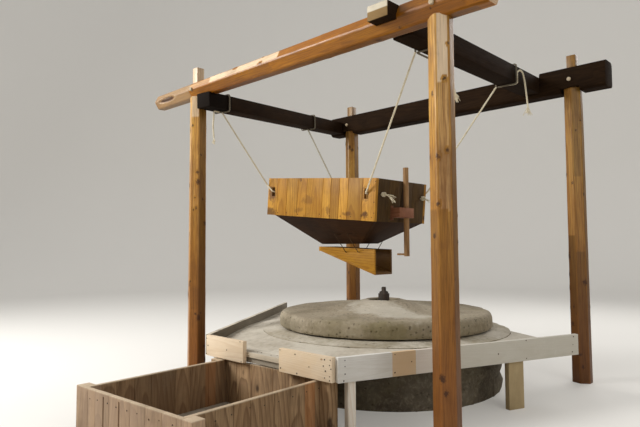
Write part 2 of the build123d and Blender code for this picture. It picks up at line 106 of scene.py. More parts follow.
def wander(seed, place, size):
    # smooth random value between -1 and 1, repeatable for a seed
    return noise.noise(Vector(place) / size + Vector((seed * 7.31, seed * 3.17, seed * 5.73)))


# node helpers
class NodeBench:
    # makes and joins nodes of one tree in short lines
    def __init__(self, tree):
        self.tree = tree
        self.count = 0

    def add(self, kind, settings=None, **links):
        node = self.tree.nodes.new(kind)
        node.location = (220 * (self.count % 12), -260 * (self.count // 12))
        self.count += 1
        for key, value in (settings or {}).items():
            setattr(node, key, value)
        for key, value in links.items():
            self.put(node, key, value)
        return node

    def put(self, node, key, value):
        socket = node.inputs[int(key[1:])] if key[0] == "i" and key[1:].isdigit() else node.inputs[key]
        if isinstance(value, bpy.types.NodeSocket):
            self.tree.links.new(value, socket)
        else:
            socket.default_value = value

    def math(self, operation, a, b=0.0):
        return self.add("ShaderNodeMath", {"operation": operation}, i0=a, i1=b).outputs[0]

    def times(self, a, b):
        return self.math("MULTIPLY", a, b)

    def plus(self, a, b):
        return self.math("ADD", a, b)

    def vector(self, operation, a, b=(0, 0, 0)):
        node = self.add("ShaderNodeVectorMath", {"operation": operation}, i0=a, i1=b)
        return node.outputs["Value" if operation in ("LENGTH", "DOT_PRODUCT") else "Vector"]

    def scaled(self, vector, scale):
        return self.add("ShaderNodeVectorMath", {"operation": "SCALE"}, i0=vector, Scale=scale).outputs[0]

    def mixColour(self, share, a, b):
        return self.add("ShaderNodeMix", {"data_type": "RGBA"}, i0=share, i6=a, i7=b).outputs[2]

    def spread(self, value, low, high, toLow=0.0, toHigh=1.0):
        node = self.add("ShaderNodeMapRange", {"clamp": True}, i0=value, i1=low, i2=high, i3=toLow, i4=toHigh)
        return node.outputs[0]

    def cloud(self, vector, scale, detail, rough, warp=0.0):
        return self.add("ShaderNodeTexNoise", None, Vector=vector, Scale=scale, Detail=detail,
                        Roughness=rough, Distortion=warp).outputs[0]

    def attribute(self, name, output="Fac"):
        return self.add("ShaderNodeAttribute", {"attribute_name": name}).outputs[output]

    def stretch(self, vector, scale):
        node = self.add("ShaderNodeMapping", None, Vector=vector)
        node.inputs["Scale"].default_value = scale
        return node.outputs[0]


def openGroup(name, kind, inputs, outputs):
    # inputs and outputs: names of the sockets by their kind
    group = bpy.data.node_groups.new(name, kind + "NodeTree")
    for sockets, way in ((inputs, "INPUT"), (outputs, "OUTPUT")):
        for socketKind, names in sockets.items():
            for socketName in names:
                group.interface.new_socket(name=socketName, in_out=way, socket_type="NodeSocket" + socketKind)
    bench = NodeBench(group)
    return group, bench, bench.add("NodeGroupInput"), bench.add("NodeGroupOutput")


def closeTree(bench, geometry, inn, out):
    # real copies and their material end every Geometry Nodes tree
    real = bench.add("GeometryNodeRealizeInstances", None, i0=geometry)
    finish = bench.add("GeometryNodeSetMaterial", None, Geometry=real.outputs[0], Material=inn.outputs["Finish"])
    bench.put(out, "i0", finish.outputs[0])


# shader groups shared by the finishes
def makeWoodFigure():
    # growth rings, fibre streaks and knots, read from a place inside the timber (z along the grain)
    group, bench, inn, out = openGroup(
        "woodFigure", "Shader",
        {"Vector": ["Place"], "Float": ["Rings", "Fibre", "Knot Spacing", "Knot Size", "Taper"]},
        {"Float": ["Ring", "Streak", "Patch", "Knot", "Height"]},
    )
    place = inn.outputs["Place"]
    knotPlace = bench.scaled(bench.stretch(place, (1.0, 1.0, 0.62)),
                             bench.math("DIVIDE", 1.0, inn.outputs["Knot Spacing"]))
    cell = bench.add("ShaderNodeTexVoronoi", {"feature": "F1"}, Vector=knotPlace, Scale=1.0)
    away = bench.times(cell.outputs["Distance"], inn.outputs["Knot Spacing"])
    chosen = bench.add("ShaderNodeSeparateColor", None, i0=cell.outputs["Color"])
    radius = bench.times(inn.outputs["Knot Size"], bench.spread(chosen.outputs[0], 0.45, 1.0, 0.0, 1.2))
    near = bench.math("DIVIDE", away, bench.plus(radius, 0.0015))
    knot = bench.spread(near, 0.7, 1.15, 1.0, 0.0)
    flow = bench.times(bench.math("POWER", bench.spread(near, 0.0, 4.0, 1.0, 0.0), 3.0), radius)
    # rings bend round each knot and wander along the length
    slow = bench.add("ShaderNodeTexNoise", None, Vector=bench.stretch(place, (9.0, 9.0, 0.9)), Scale=1.0, Detail=2.0)
    shifted = bench.add("ShaderNodeVectorMath", {"operation": "MULTIPLY_ADD"}, i0=slow.outputs["Color"],
                        i1=(0.035, 0.035, 0.0), i2=place).outputs[0]
    reach = bench.vector("LENGTH", bench.vector("MULTIPLY", shifted, (1.0, 1.0, 0.0)))
    reach = bench.plus(reach, bench.times(flow, 1.6))
    along = bench.add("ShaderNodeSeparateXYZ", None, i0=place)
    reach = bench.plus(reach, bench.times(along.outputs["Z"], inn.outputs["Taper"]))
    saw = bench.math("FRACT", bench.times(reach, inn.outputs["Rings"]))
    ring = bench.times(bench.math("POWER", saw, 2.2), bench.spread(saw, 0.93, 1.0, 1.0, 0.0))
    fibre = bench.scaled(bench.stretch(place, (1.0, 1.0, 0.035)), inn.outputs["Fibre"])
    streak = bench.cloud(fibre, 1.0, 3.0, 0.6)
    patch = bench.cloud(bench.stretch(place, (7.0, 7.0, 2.2)), 1.0, 3.0, 0.6, 0.4)
    height = bench.plus(bench.plus(bench.times(streak, 0.6), bench.times(ring, 0.4)), bench.times(knot, 0.5))
    for name, value in (("Ring", ring), ("Streak", streak), ("Patch", patch), ("Knot", knot), ("Height", height)):
        group.links.new(value, out.inputs[name])
    return group


def makeDust():
    # flour and dust lie where a face looks up, in uneven drifts
    group, bench, inn, out = openGroup(
        "dustOnTop", "Shader", {"Vector": ["Place"], "Float": ["Amount", "Size", "Everywhere"]}, {"Float": ["Mask"]},
    )
    face = bench.add("ShaderNodeNewGeometry")
    up = bench.add("ShaderNodeSeparateXYZ", None, i0=face.outputs["Normal"])
    lying = bench.math("MAXIMUM", bench.spread(up.outputs["Z"], 0.35, 0.9), inn.outputs["Everywhere"])
    drift = bench.cloud(inn.outputs["Place"], inn.outputs["Size"], 5.0, 0.62)
    fine = bench.cloud(inn.outputs["Place"], bench.times(inn.outputs["Size"], 14.0), 3.0, 0.6)
    both = bench.plus(bench.times(drift, 0.75), bench.times(fine, 0.25))
    low = bench.math("SUBTRACT", 0.82, bench.times(inn.outputs["Amount"], 0.6))
    shade = bench.add("ShaderNodeMapRange", {"clamp": True, "interpolation_type": "SMOOTHSTEP"},
                      i0=both, i1=low, i2=bench.plus(low, 0.28))
    group.links.new(bench.times(shade.outputs[0], lying), out.inputs["Mask"])
    return group


woodFigure = makeWoodFigure()
dustOnTop = makeDust()


def newMaterial(name):
    material = bpy.data.materials.new(name)
    material.use_nodes = True
    tree = material.node_tree
    tree.nodes.clear()
    bench = NodeBench(tree)
    end = bench.add("ShaderNodeOutputMaterial")
    shader = bench.add("ShaderNodeBsdfPrincipled")
    tree.links.new(shader.outputs[0], end.inputs["Surface"])
    return material, bench, shader


def finishMaterial(bench, shader, sockets, height, bump, depth):
    relief = bench.add("ShaderNodeBump", None, Height=height, Strength=bump, Distance=depth)
    bench.put(shader, "Normal", relief.outputs[0])
    for key, value in sockets.items():
        bench.put(shader, key, value)


def addSpots(bench, where, colour, spots):
    # ragged patches: (middle, half sizes, colour, share)
    for middle, sizes, patchColour, share in spots:
        away = bench.vector("LENGTH", bench.vector("DIVIDE", bench.vector("SUBTRACT", where, middle), sizes))
        rough = bench.spread(bench.cloud(where, 1.8 / max(sizes), 7.0, 0.68), 0.3, 0.7, -0.5, 0.5)
        colour = bench.mixColour(bench.spread(bench.plus(away, rough), 0.55, 1.05, share, 0.0), colour, patchColour)
    return colour


def addDust(bench, where, colour, look):
    # the dusted colour, and how thick the dust lies
    dust = bench.add("ShaderNodeGroup", {"node_tree": dustOnTop}, Place=where, Amount=look["dustAmount"],
                     Everywhere=look["dustEverywhere"], Size=look["dustSize"]).outputs[0]
    return bench.mixColour(dust, colour, look["dust"]), dust


def woodMaterial(name, look):
    material, bench, shader = newMaterial(name)
    where = bench.add("ShaderNodeTexCoord").outputs["Object"]
    tone = bench.attribute("boardTone")
    state = bench.attribute("woodState")  # above 0: pale wood, bare in places and partly a painted highlight on the front log's top; below 0: knots and hollows
    figure = bench.add("ShaderNodeGroup", {"node_tree": woodFigure}, Place=bench.attribute("woodPlace", "Vector"))
    for key in ("Rings", "Fibre", "Knot Spacing", "Knot Size", "Taper"):
        figure.inputs[key].default_value = look[key]
    colour = bench.mixColour(bench.spread(figure.outputs["Patch"], 0.32, 0.72), look["base"], look["deep"])
    if look["lowShare"] > 0:  # the lower part is darker and redder: reddish wood, with painted shade where the light falls off towards the floor
        height = bench.add("ShaderNodeSeparateXYZ", None, i0=where)
        uneven = bench.plus(height.outputs["Z"], bench.times(figure.outputs["Patch"], 0.9))
        colour = bench.mixColour(bench.spread(uneven, 0.7, 1.9, look["lowShare"], 0.0), colour, look["low"])
    colour = bench.mixColour(bench.spread(state, 0.05, 0.95), colour, look["paleWood"])
    ringShare = bench.spread(state, 0.2, 0.9, look["ringShare"], look["ringShare"] * 0.3)
    colour = bench.mixColour(bench.times(ringShare, figure.outputs["Ring"]), colour, look["ring"])
    fibres = bench.spread(figure.outputs["Streak"], 0.42, 0.72, 0.0, look["streakShare"])
    colour = bench.mixColour(bench.times(fibres, bench.spread(state, 0.2, 0.9, 1.0, 0.35)), colour, look["streak"])
    shift = bench.spread(tone, 0.0, 1.0, -look["toneSpread"], look["toneSpread"])
    colour = bench.add("ShaderNodeHueSaturation", None, Color=colour, Value=bench.plus(1.0, shift),
                       Saturation=look["richness"]).outputs[0]
    colour = bench.mixColour(bench.times(figure.outputs["Knot"], look["knotShare"]), colour, look["knot"])
    for limits, patchColour, share in look["spans"]:  # a stretch of another board or another stain
        inside = share
        for direction, low, high in limits:
            along = bench.vector("DOT_PRODUCT", where, direction)
            inside = bench.times(inside, bench.spread(along, low, low + 0.004))
            inside = bench.times(inside, bench.spread(along, high - 0.004, high, 1.0, 0.0))
        colour = bench.mixColour(inside, colour, patchColour)
    ragged = bench.plus(state, bench.spread(bench.cloud(where, 110.0, 3.0, 0.65), 0.3, 0.7, -0.3, 0.3))
    colour = bench.mixColour(bench.spread(ragged, -0.7, -0.3, look["knotShare"], 0.0), colour, look["knot"])
    colour = addSpots(bench, where, colour, look["spots"])
    soiled = bench.spread(bench.cloud(where, look["grimeSize"], 5.0, 0.65), 0.5, 0.72, 0.0, look["grimeShare"])
    colour = bench.mixColour(soiled, colour, look["grime"])
    rough = bench.spread(figure.outputs["Streak"], 0.3, 0.7, *look["rough"])
    if look["dustAmount"] > 0:
        colour, dust = addDust(bench, where, colour, look)
        rough = bench.math("MAXIMUM", rough, bench.times(dust, 0.9))
    finishMaterial(
        bench, shader,
        {"Base Color": colour, "Roughness": rough, "Coat Weight": look["coat"], "Coat Roughness": look["coatRough"],
         "Specular IOR Level": look["shine"]},
        figure.outputs["Height"], look["bump"], 0.0012,
    )
    return material


def tint(red, green, blue):
    # screen colour to the linear colour of a socket
    shares = [v / 255 for v in (red, green, blue)]
    return tuple(((v + 0.055) / 1.055) ** 2.4 if v > 0.04 else v / 12.92 for v in shares) + (1.0,)


# places that several pieces share
hopperTilt = math.radians(5.0)
alongHopper = Vector((math.cos(hopperTilt), 0, -math.sin(hopperTilt)))
upHopper = Vector((math.sin(hopperTilt), 0, math.cos(hopperTilt)))
hopperRight = Vector((0.137, 0, 0.985))
deckCorners = {
    "frontRight": Vector((0.515, -1.020, 0)), "backRight": Vector((1.040, 0.350, 0)),
    "backLeft": Vector((-1.440, 0.490, 0)), "frontLeft": Vector((-0.430, -1.020, 0)),
}
rightFence = (deckCorners["backRight"] - deckCorners["frontRight"]).normalized()
leftFence = (deckCorners["backLeft"] - deckCorners["frontLeft"]).normalized()
leftBeamFront = Vector((-0.796, -0.830, 1.782))
leftBeamBack = Vector((-1.045, 0.770, 1.864))
leftBeam = Vector((*(leftBeamBack - leftBeamFront).xy, 0)).normalized()
binTurn = math.radians(3.5)
binAlong = Vector((math.cos(binTurn), math.sin(binTurn), 0))
binAcross = Vector((-math.sin(binTurn), math.cos(binTurn), 0))
binMiddle = Vector((0.084, -1.382, 0))


def inHopper(x, y, z):
    return hopperRight + alongHopper * x + Vector((0, y, 0)) + upHopper * z


# finishes of the timber
plainWood = {
    "base": tint(160, 120, 70), "deep": tint(132, 92, 48), "ring": tint(104, 68, 34), "ringShare": 0.55,
    "streak": tint(96, 62, 32), "streakShare": 0.45, "knot": tint(52, 28, 14), "knotShare": 0.85,
    "grime": tint(60, 44, 30), "grimeShare": 0.35, "grimeSize": 3.0, "toneSpread": 0.14, "richness": 1.0,
    "low": tint(120, 66, 30), "lowShare": 0.0, "spans": (), "paleWood": tint(224, 202, 172),
    "Rings": 130.0, "Fibre": 420.0, "Knot Spacing": 0.13, "Knot Size": 0.012, "Taper": 0.03, "spots": (),
    "rough": (0.55, 0.75), "coat": 0.0, "coatRough": 0.3, "shine": 0.4, "bump": 0.35,
    "dust": tint(200, 190, 172), "dustAmount": 0.0, "dustEverywhere": 0.0, "dustSize": 6.0,
}
varnishedLogLook = dict(
    plainWood, base=tint(206, 160, 82), deep=tint(176, 124, 52), ring=tint(138, 86, 32), ringShare=0.6,
    streak=tint(96, 56, 20), streakShare=0.75, knot=tint(54, 27, 12), grime=tint(98, 56, 22), grimeShare=0.6,
    grimeSize=2.6, low=tint(126, 68, 32), lowShare=0.8, toneSpread=0.46, Rings=80.0, Fibre=230.0, Taper=0.01,
    rough=(0.36, 0.54), coat=0.16, coatRough=0.28, shine=0.28, bump=0.55, richness=1.03,
)
varnishedLogLook["Knot Spacing"] = 0.15
varnishedLogLook["Knot Size"] = 0.013
frontLogLook = dict(
    varnishedLogLook, base=tint(176, 118, 48), deep=tint(138, 82, 30), grime=tint(92, 54, 24), lowShare=0.0,
    richness=1.12,
    spans=(((((-1, 0, 0), 0.955, 1.5),), tint(152, 130, 98), 0.65),),
)
darkBeamLook = dict(
    plainWood, base=tint(50, 34, 19), deep=tint(34, 22, 12), ring=tint(28, 17, 9), streak=tint(20, 13, 8),
    knot=tint(14, 9, 6), grime=tint(20, 14, 9), grimeShare=0.6, rough=(0.7, 0.85), bump=0.5, shine=0.05,
)
# painted shadow: the near end of the left beam, under the front log, is made nearly black
leftBeamLook = dict(darkBeamLook, spans=(((((0, -1, 0), 0.62, 1.0),), tint(20, 15, 11), 0.85),))
rightBeamLook = dict(darkBeamLook, spans=(  # sawn end over the log
    ((((0, -1, 0), 0.904, 1.0),), tint(150, 122, 82), 0.9),
    ((((0, -1, 0), 0.904, 1.0), ((0, 0, 1), 1.898, 2.0)), tint(222, 212, 190), 0.9),
))
goldenBoardLook = dict(
    plainWood, base=tint(208, 158, 76), deep=tint(178, 126, 54), ring=tint(140, 90, 36), ringShare=0.6,
    streak=tint(118, 74, 28), streakShare=0.5, knot=tint(70, 38, 16), toneSpread=0.30, grimeShare=0.4,
    grime=tint(110, 72, 30), rough=(0.46, 0.66), coat=0.05, shine=0.22, Rings=62.0, Taper=0.06, richness=1.05,
)
goldenBoardLook.update({"Knot Spacing": 0.10, "Knot Size": 0.010})
hopperLook = dict(goldenBoardLook, spots=tuple(
    (inHopper(x, -0.262, z), (wide, 0.05, tall), tint(*shade), share) for x, z, wide, tall, shade, share in (
        (-0.925, 0.150, 0.042, 0.065, (86, 50, 24), 0.8), (-0.950, 0.020, 0.075, 0.034, (70, 42, 22), 0.75),
        (-0.078, 0.165, 0.036, 0.050, (104, 64, 30), 0.6), (-0.080, 0.040, 0.026, 0.024, (74, 40, 18), 0.85),
        (-0.215, 0.036, 0.034, 0.018, (96, 58, 26), 0.7), (-0.378, 0.052, 0.024, 0.044, (116, 74, 34), 0.6),
        (-0.564, 0.112, 0.060, 0.034, (128, 84, 40), 0.55), (-0.654, 0.043, 0.040, 0.022, (120, 78, 38), 0.5),
        (-0.642, 0.245, 0.016, 0.018, (92, 54, 24), 0.8),
    )
))
# the hopper's end walls: grey-brown boards, darkened further as painted shade, as on the right end wall that faces
# away from the key light
agedAndShadedBoardLook = dict(
    goldenBoardLook, base=tint(98, 76, 46), deep=tint(74, 54, 30), ring=tint(58, 40, 22), streak=tint(50, 34, 18),
    knot=tint(38, 24, 12), grime=tint(54, 38, 22), rough=(0.55, 0.75), coat=0.0, shine=0.18, toneSpread=0.22,
)
shoeLook = dict(goldenBoardLook, richness=1.09, spans=(  # painted shade: the inside of the channel is darkened
    ((((0, 1, 0), -0.080, 0.2), ((1, 0, 0), -0.6, 0.01)), tint(78, 54, 30), 0.85),
))
darkBoardLook = dict(
    plainWood, base=tint(72, 43, 18), deep=tint(47, 28, 12), ring=tint(36, 21, 9), streak=tint(24, 15, 8),
    knot=tint(18, 10, 6), grime=tint(20, 13, 8), grimeShare=0.5, rough=(0.6, 0.8), shine=0.15,
)
turnedWoodLook = dict(
    plainWood, base=tint(186, 146, 98), deep=tint(152, 112, 70), ring=tint(118, 82, 48), streak=tint(96, 64, 36),
    grime=tint(80, 54, 34), grimeShare=0.4, rough=(0.5, 0.7), shine=0.25,
)
crossbarLook = dict(turnedWoodLook, base=tint(156, 104, 76), deep=tint(112, 66, 44), ring=tint(84, 48, 30))
pegLook = dict(plainWood, base=tint(214, 198, 168), deep=tint(188, 166, 130), ring=tint(160, 132, 96))
newPineLook = dict(
    plainWood, base=tint(230, 212, 186), deep=tint(218, 196, 166), ring=tint(204, 174, 136), ringShare=0.4,
    streak=tint(192, 164, 130), streakShare=0.3, knot=tint(140, 96, 56), knotShare=0.75, grime=tint(224, 190, 140),
    grimeShare=0.4, grimeSize=3.4, toneSpread=0.06, rough=(0.68, 0.85), shine=0.2, bump=0.3,
    dust=tint(226, 218, 204), dustAmount=0.45, dustEverywhere=0.3, dustSize=5.0,
)
spliceFrom = rightFence.dot(deckCorners["frontRight"])
greyPineLook = dict(  # the right board, grey: its own grey and partly painted cool light on this side; a warmer length is let into it, and its far length is darkened as painted shade
    newPineLook, base=tint(222, 220, 214), deep=tint(208, 204, 195), ring=tint(192, 184, 170), ringShare=0.3,
    streak=tint(180, 171, 156), grime=tint(196, 190, 174), grimeShare=0.3, dust=tint(232, 229, 222), spans=(
        (((rightFence, spliceFrom + 0.275, spliceFrom + 0.408),), tint(206, 168, 116), 0.75),
        (((rightFence, spliceFrom + 0.408, spliceFrom + 0.60),), tint(214, 196, 178), 0.5),
        # painted shade on the far length of the board
        (((rightFence, spliceFrom + 0.60, spliceFrom + 1.6),), tint(184, 174, 150), 0.45),
    ),
)
# the left board: darker grey all over, with lighter dust along its top
darkGreyPineLook = dict(
    newPineLook, base=tint(138, 129, 114), deep=tint(116, 107, 92), ring=tint(100, 90, 76), streak=tint(88, 78, 64),
    grime=tint(92, 84, 70), grimeShare=0.6, dust=tint(208, 198, 178), dustAmount=0.9, dustEverywhere=0.0,
)
legPineLook = dict(newPineLook, base=tint(180, 162, 124), deep=tint(160, 140, 102), grime=tint(140, 120, 86))
# the front legs are near white: painted light, so that they read bright in the shade under the deck
frontLegLook = dict(newPineLook, base=tint(238, 233, 222), deep=tint(226, 218, 204), grime=tint(214, 204, 186))
flouryPlankLook = dict(
    plainWood, base=tint(168, 158, 142), deep=tint(150, 140, 124), ring=tint(134, 122, 104), ringShare=0.3,
    streak=tint(120, 108, 90), streakShare=0.35, grime=tint(124, 112, 94), grimeShare=0.4, toneSpread=0.06,
    rough=(0.8, 0.92), shine=0.15, bump=0.3,
    spans=(((((0, -1, 0), 1.0165, 1.03), ((0, 0, 1), 0.2, 0.31)), tint(222, 206, 180), 0.8),),  # worn front edge
    dust=tint(188, 179, 163), dustAmount=0.85, dustEverywhere=0.15, dustSize=3.0,
)
weatheredPlankLook = dict(
    plainWood, base=tint(170, 141, 106), deep=tint(134, 105, 73), ring=tint(96, 68, 46), ringShare=0.75,
    streak=tint(76, 54, 38), streakShare=0.6, knot=tint(44, 28, 18), grime=tint(104, 86, 66), grimeShare=0.6,
    toneSpread=0.26, rough=(0.68, 0.86), shine=0.2, bump=0.7, dust=tint(196, 182, 160), dustAmount=0.4,
    dustEverywhere=0.14, Rings=52.0, Fibre=240.0, Taper=0.11,
)
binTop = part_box("bin_front")[1].z
weatheredPlankLook["spans"] = tuple(
    (((direction, binMiddle.dot(direction) + low, binMiddle.dot(direction) + high),), tint(*shade), share)
    for direction, low, high, shade, share in (
        (binAcross, 0.24, 0.310, (176, 116, 66), 0.5),  # back wall, warm
        (binAlong, -0.395, -0.30, (96, 74, 54), 0.4),  # left wall, darker inside: painted shade
        (-binAcross, 0.325, 0.45, (190, 164, 140), 0.45),  # front wall outside, lighter: painted light on the faces towards the key light
        (Vector((0, 0, 1)), binTop - 0.005, binTop + 0.01, (206, 188, 160), 0.6),  # worn top edges
    )
)
weatheredPlankLook.update({"Knot Spacing": 0.12, "Knot Size": 0.016})
woods = {name: woodMaterial(name, look) for name, look in {
    "varnishedLog": varnishedLogLook, "frontLogWood": frontLogLook, "darkBeam": darkBeamLook,
    "leftBeamWood": leftBeamLook, "rightBeamWood": rightBeamLook, "hopperBoard": hopperLook,
    "agedAndShadedBoard": agedAndShadedBoardLook, "shoeBoard": shoeLook, "darkBoard": darkBoardLook, "turnedWood": turnedWoodLook,
    "crossbarWood": crossbarLook, "newPine": newPineLook, "darkGreyPine": darkGreyPineLook, "legPine": legPineLook,
    "frontLegPine": frontLegLook, "pegWood": pegLook, "flouryPlank": flouryPlankLook,
    "weatheredPlank": weatheredPlankLook, "rightBoardPine": greyPineLook,
}.items()}
print("timber finishes ready")


# boards sawn from the CAD pieces
def weldedCopy(node):
    work = bmesh.new()
    work.from_mesh(nodes[node].data)
    bmesh.ops.remove_doubles(work, verts=work.verts, dist=0.00002)
    bmesh.ops.dissolve_limit(work, angle_limit=math.radians(1.5), verts=work.verts, edges=work.edges)
    return work


def keepBetween(work, normal, low, high):
    # trims a solid to the slab low < position along normal < high and closes the cuts
    for place, side in ((low, -1), (high, 1)):
        if place is None:
            continue
        cut = cutAt(work, normal * place, normal * side, clear_outer=True)
        rim = [e for e in cut if isinstance(e, bmesh.types.BMEdge) and e.is_boundary]
        if rim:
            bmesh.ops.edgenet_fill(work, edges=rim)
    return work


boardDefaults = {"grain": (0, 0, 1), "across": (1, 0, 0), "cuts": (), "gap": 0, "bevel": 0.0015}


def sawnBoards(name, cadNodes, material, options):
    # options: grain = direction of the fibres, across = direction the boards lie side by side in,
    # cuts = places of the seams, gap = width of a seam, bevel, seed, tones = tone of each board in turn
    options = {**boardDefaults, **options}
    grain = Vector(options["grain"]).normalized()
    across = Vector(options["across"]).normalized()
    directions = (across, grain.cross(across).normalized(), grain)
    gap = options["gap"] / 2
    rng = random.Random(options["seed"])
    setTones = list(options.get("tones", ()))
    allVerts, allFaces, places, tones = [], [], [], []
    for node in cadNodes:
        spans = [v.co.dot(across) for v in nodes[node].data.vertices]
        cuts = [c for c in options["cuts"] if min(spans) + 0.01 < c < max(spans) - 0.01]
        limits = [None] + cuts + [None]
        for low, high in zip(limits, limits[1:]):
            work = weldedCopy(node)
            keepBetween(work, across, None if low is None else low + gap, None if high is None else high - gap)
            turnFacesOut(work)
            sharp = [e for e in work.edges if len(e.link_faces) == 2 and e.calc_face_angle(0) > math.radians(35)]
            bmesh.ops.bevel(
                work, geom=sharp, offset=options["bevel"], offset_type="OFFSET", segments=2, profile=0.6,
                affect="EDGES", clamp_overlap=True,
            )
            bmesh.ops.triangulate(work, faces=[f for f in work.faces if len(f.verts) > 4])
            work.verts.index_update()
            start = len(allVerts)
            middle = sum((v.co for v in work.verts), Vector()) / max(len(work.verts), 1)
            pith = (rng.uniform(-0.05, 0.05), rng.choice((-1, 1)) * rng.uniform(0.03, 0.11), rng.uniform(0, 9))
            tone = setTones.pop(0) if setTones else rng.random()
            for v in work.verts:
                places.append([(v.co - middle).dot(d) + shift for d, shift in zip(directions, Vector(pith))])
                tones.append(tone)
                allVerts.append(v.co.copy())
            allFaces += [[start + v.index for v in f.verts] for f in work.faces]
            work.free()
    mesh = plainMesh(name, allVerts, allFaces, material)
    addTimberPlaces(mesh, places, tones)
    smoothByAngle(mesh, 32)
    return newObject(name, mesh)


def addTimberPlaces(mesh, places, tones, states=None):
    inside = mesh.attributes.new("woodPlace", "FLOAT_VECTOR", "POINT")
    inside.data.foreach_set("vector", [c for place in places for c in place])
    for name, values in (("boardTone", tones), ("woodState", states)):
        if values:
            mesh.attributes.new(name, "FLOAT", "POINT").data.foreach_set("value", values)


# round logs, hewn with a drawknife: long flats, stroke after stroke
hewing = {
    "wave": 0.008, "ripple": 0.08, "skin": 0.0005,  # ends of the strokes, depth of a flat, whole surface
    "knotRise": 0.0016, "knotSize": (0.006, 0.012), "knotReach": 2.5,
    "inset": 0.0016, "easing": ((0.97, 0.0012), (0.88, 0.0014), (0.6, 0.0016), (0.3, 0.0014)),  # eased ends
    "notchStep": 0.0002,
}


class TimberMesh:
    def __init__(self):
        self.verts, self.faces, self.places, self.tones, self.states = [], [], [], [], []

    def strokes(self, look, length, rng):
        # for each flat the strokes it was made in: (end, depth, tone, paleness)
        made = []
        for flat in range(look["flats"]):
            line, place = [], 0.0
            while place < length:
                place += rng.uniform(*look["strokeLength"])
                line.append((place, rng.uniform(0.72, 1.0), rng.uniform(-1, 1) * look["facetTone"], 0.0))
            for marked, begin, end, tone, paleWood in look.get("marks", ()):
                if marked == flat:
                    before = next((cut for cut in line if cut[0] >= begin), (length, 0.85, 0.0, 0.0))
                    line = [cut for cut in line if not begin <= cut[0] <= end]
                    line += [(begin, *before[1:]), (end, rng.uniform(0.8, 1.0), tone, paleWood)]
                    line.sort()
            made.append(line)
        return made

    def log(self, start, end, startRadius, endRadius, look, shape=None):
        start, end = Vector(start), Vector(end)
        along = (end - start).normalized()
        side = Vector((1, 0, 0)) if abs(along.z) > 0.9 else Vector((0, -1, 0))
        other = along.cross(side).normalized()
        length = (end - start).length
        seed, flats, around = look["seed"], look["flats"], look["around"]
        rng = random.Random(seed)
        turns = [math.radians(look["turn"] + rng.uniform(-4, 4)) + k * 2 * math.pi / flats for k in range(flats)]
        made = self.strokes(look, length, rng)
        inset = hewing["inset"]
        stations = [inset + (length - 2 * inset) * i / look["rings"] for i in range(look["rings"] + 1)]
        for place in look.get("sharpAt", ()):  # pairs of rings close together where a notch begins
            stations += [place - hewing["notchStep"], place + hewing["notchStep"]]
        stations.sort()
        small, more = hewing["knotSize"]
        knots = [(rng.uniform(0, 2 * math.pi), rng.uniform(0.05, length - 0.05), small + more * rng.random() ** 1.6)
                 for _ in range(look["knots"])]
        first = len(self.verts)
        for station in stations:
            base = startRadius + (endRadius - startRadius) * station / length
            for i in range(around):
                angle = 2 * math.pi * i / around
                wave = wander(seed + 9, (math.cos(angle), math.sin(angle), 0), 0.35)
                reach = station + hewing["wave"] * wave
                now = [next((cut for cut in line if cut[0] >= reach), line[-1]) for line in made]
                radius, tone, state = 1.0, 0.0, 0.0
                for k, turn in enumerate(turns):
                    facing = math.cos(angle - turn)
                    if facing > 0.6:
                        ripple = wander(seed + 3.1 * k, (station, 0, 0), 0.12)
                        flat = (1 - look["depth"] * (now[k][1] + hewing["ripple"] * ripple)) / facing
                        if flat < radius:
                            radius, tone, state = flat, now[k][2], now[k][3]
                radius *= base
                radial = side * math.cos(angle) + other * math.sin(angle)
                onRound = (math.cos(angle) * base, math.sin(angle) * base, station * 0.4)
                radius += hewing["skin"] * wander(seed + 50, onRound, 0.03)
                for knotAngle, knotPlace, knotSize in knots:
                    apart = (angle - knotAngle + math.pi) % (2 * math.pi) - math.pi
                    near = math.hypot(apart * base, (station - knotPlace) * 0.8) / knotSize
                    if near < hewing["knotReach"]:
                        radius += hewing["knotRise"] * math.exp(-near * near)
                        state = min(state, near * 0.62 - 1.0) if near < 1.6 else state
                for place, facing, halfLength, halfWidth, depth in look.get("scars", ()):
                    across = math.acos(max(-1.0, min(1.0, radial.dot(Vector(facing).normalized())))) * base
                    lens = (across / halfWidth) ** 2 + ((station - place) / halfLength) ** 2
                    if lens < 1:
                        radius -= depth * math.sqrt(1 - lens)
                        state = min(state, -1.4 * (1 - lens))
                    elif lens < 1.9:
                        state = max(state, 0.8 * (1.9 - lens))
                x, y = radius * math.cos(angle), radius * math.sin(angle)
                co = start + along * station + radial * radius
                if shape:
                    co = shape(co)
                self.verts.append(co)
                self.places.append((x + 0.008, y - 0.006, station + seed * 3.7))
                self.tones.append(0.5 + 0.5 * tone + look.get("paintedShadeShift", 0.0))
                self.states.append(state)
        rows = len(stations)
        for r in range(rows - 1):
            for i in range(around):
                a, b = first + r * around + i, first + r * around + (i + 1) % around
                self.faces.append((a, b, b + around, a + around))
        for row, out in ((0, -1), (rows - 1, 1)):
            self.cap(first + row * around, around, along * out, look["endBare"])

    def cap(self, ringStart, around, outward, paleWood):
        # closes an end with a softened edge
        ring = [self.verts[ringStart + i] for i in range(around)]
        middle = sum(ring, Vector()) / around
        placeMiddle = [sum(self.places[ringStart + i][k] for i in range(around)) / around for k in range(3)]
        before = ringStart
        for share, lift in hewing["easing"]:
            start = len(self.verts)
            for i in range(around):
                self.verts.append(middle + (ring[i] - middle) * share + outward * lift)
                place = self.places[ringStart + i]
                self.places.append(tuple(placeMiddle[k] + (place[k] - placeMiddle[k]) * share for k in range(3)))
                self.tones.append(0.5)
                self.states.append(paleWood)
            for i in range(around):
                a, b = before + i, before + (i + 1) % around
                c, d = start + i, start + (i + 1) % around
                flip = (ring[1] - ring[0]).cross(ring[0] - middle).dot(outward) > 0
                self.faces.append((a, c, d, b) if flip else (a, b, d, c))
            before = start
        last = [before + i for i in range(around)]
        self.faces.append(last[::-1] if flip else last)

    def block(self, low, high, look):
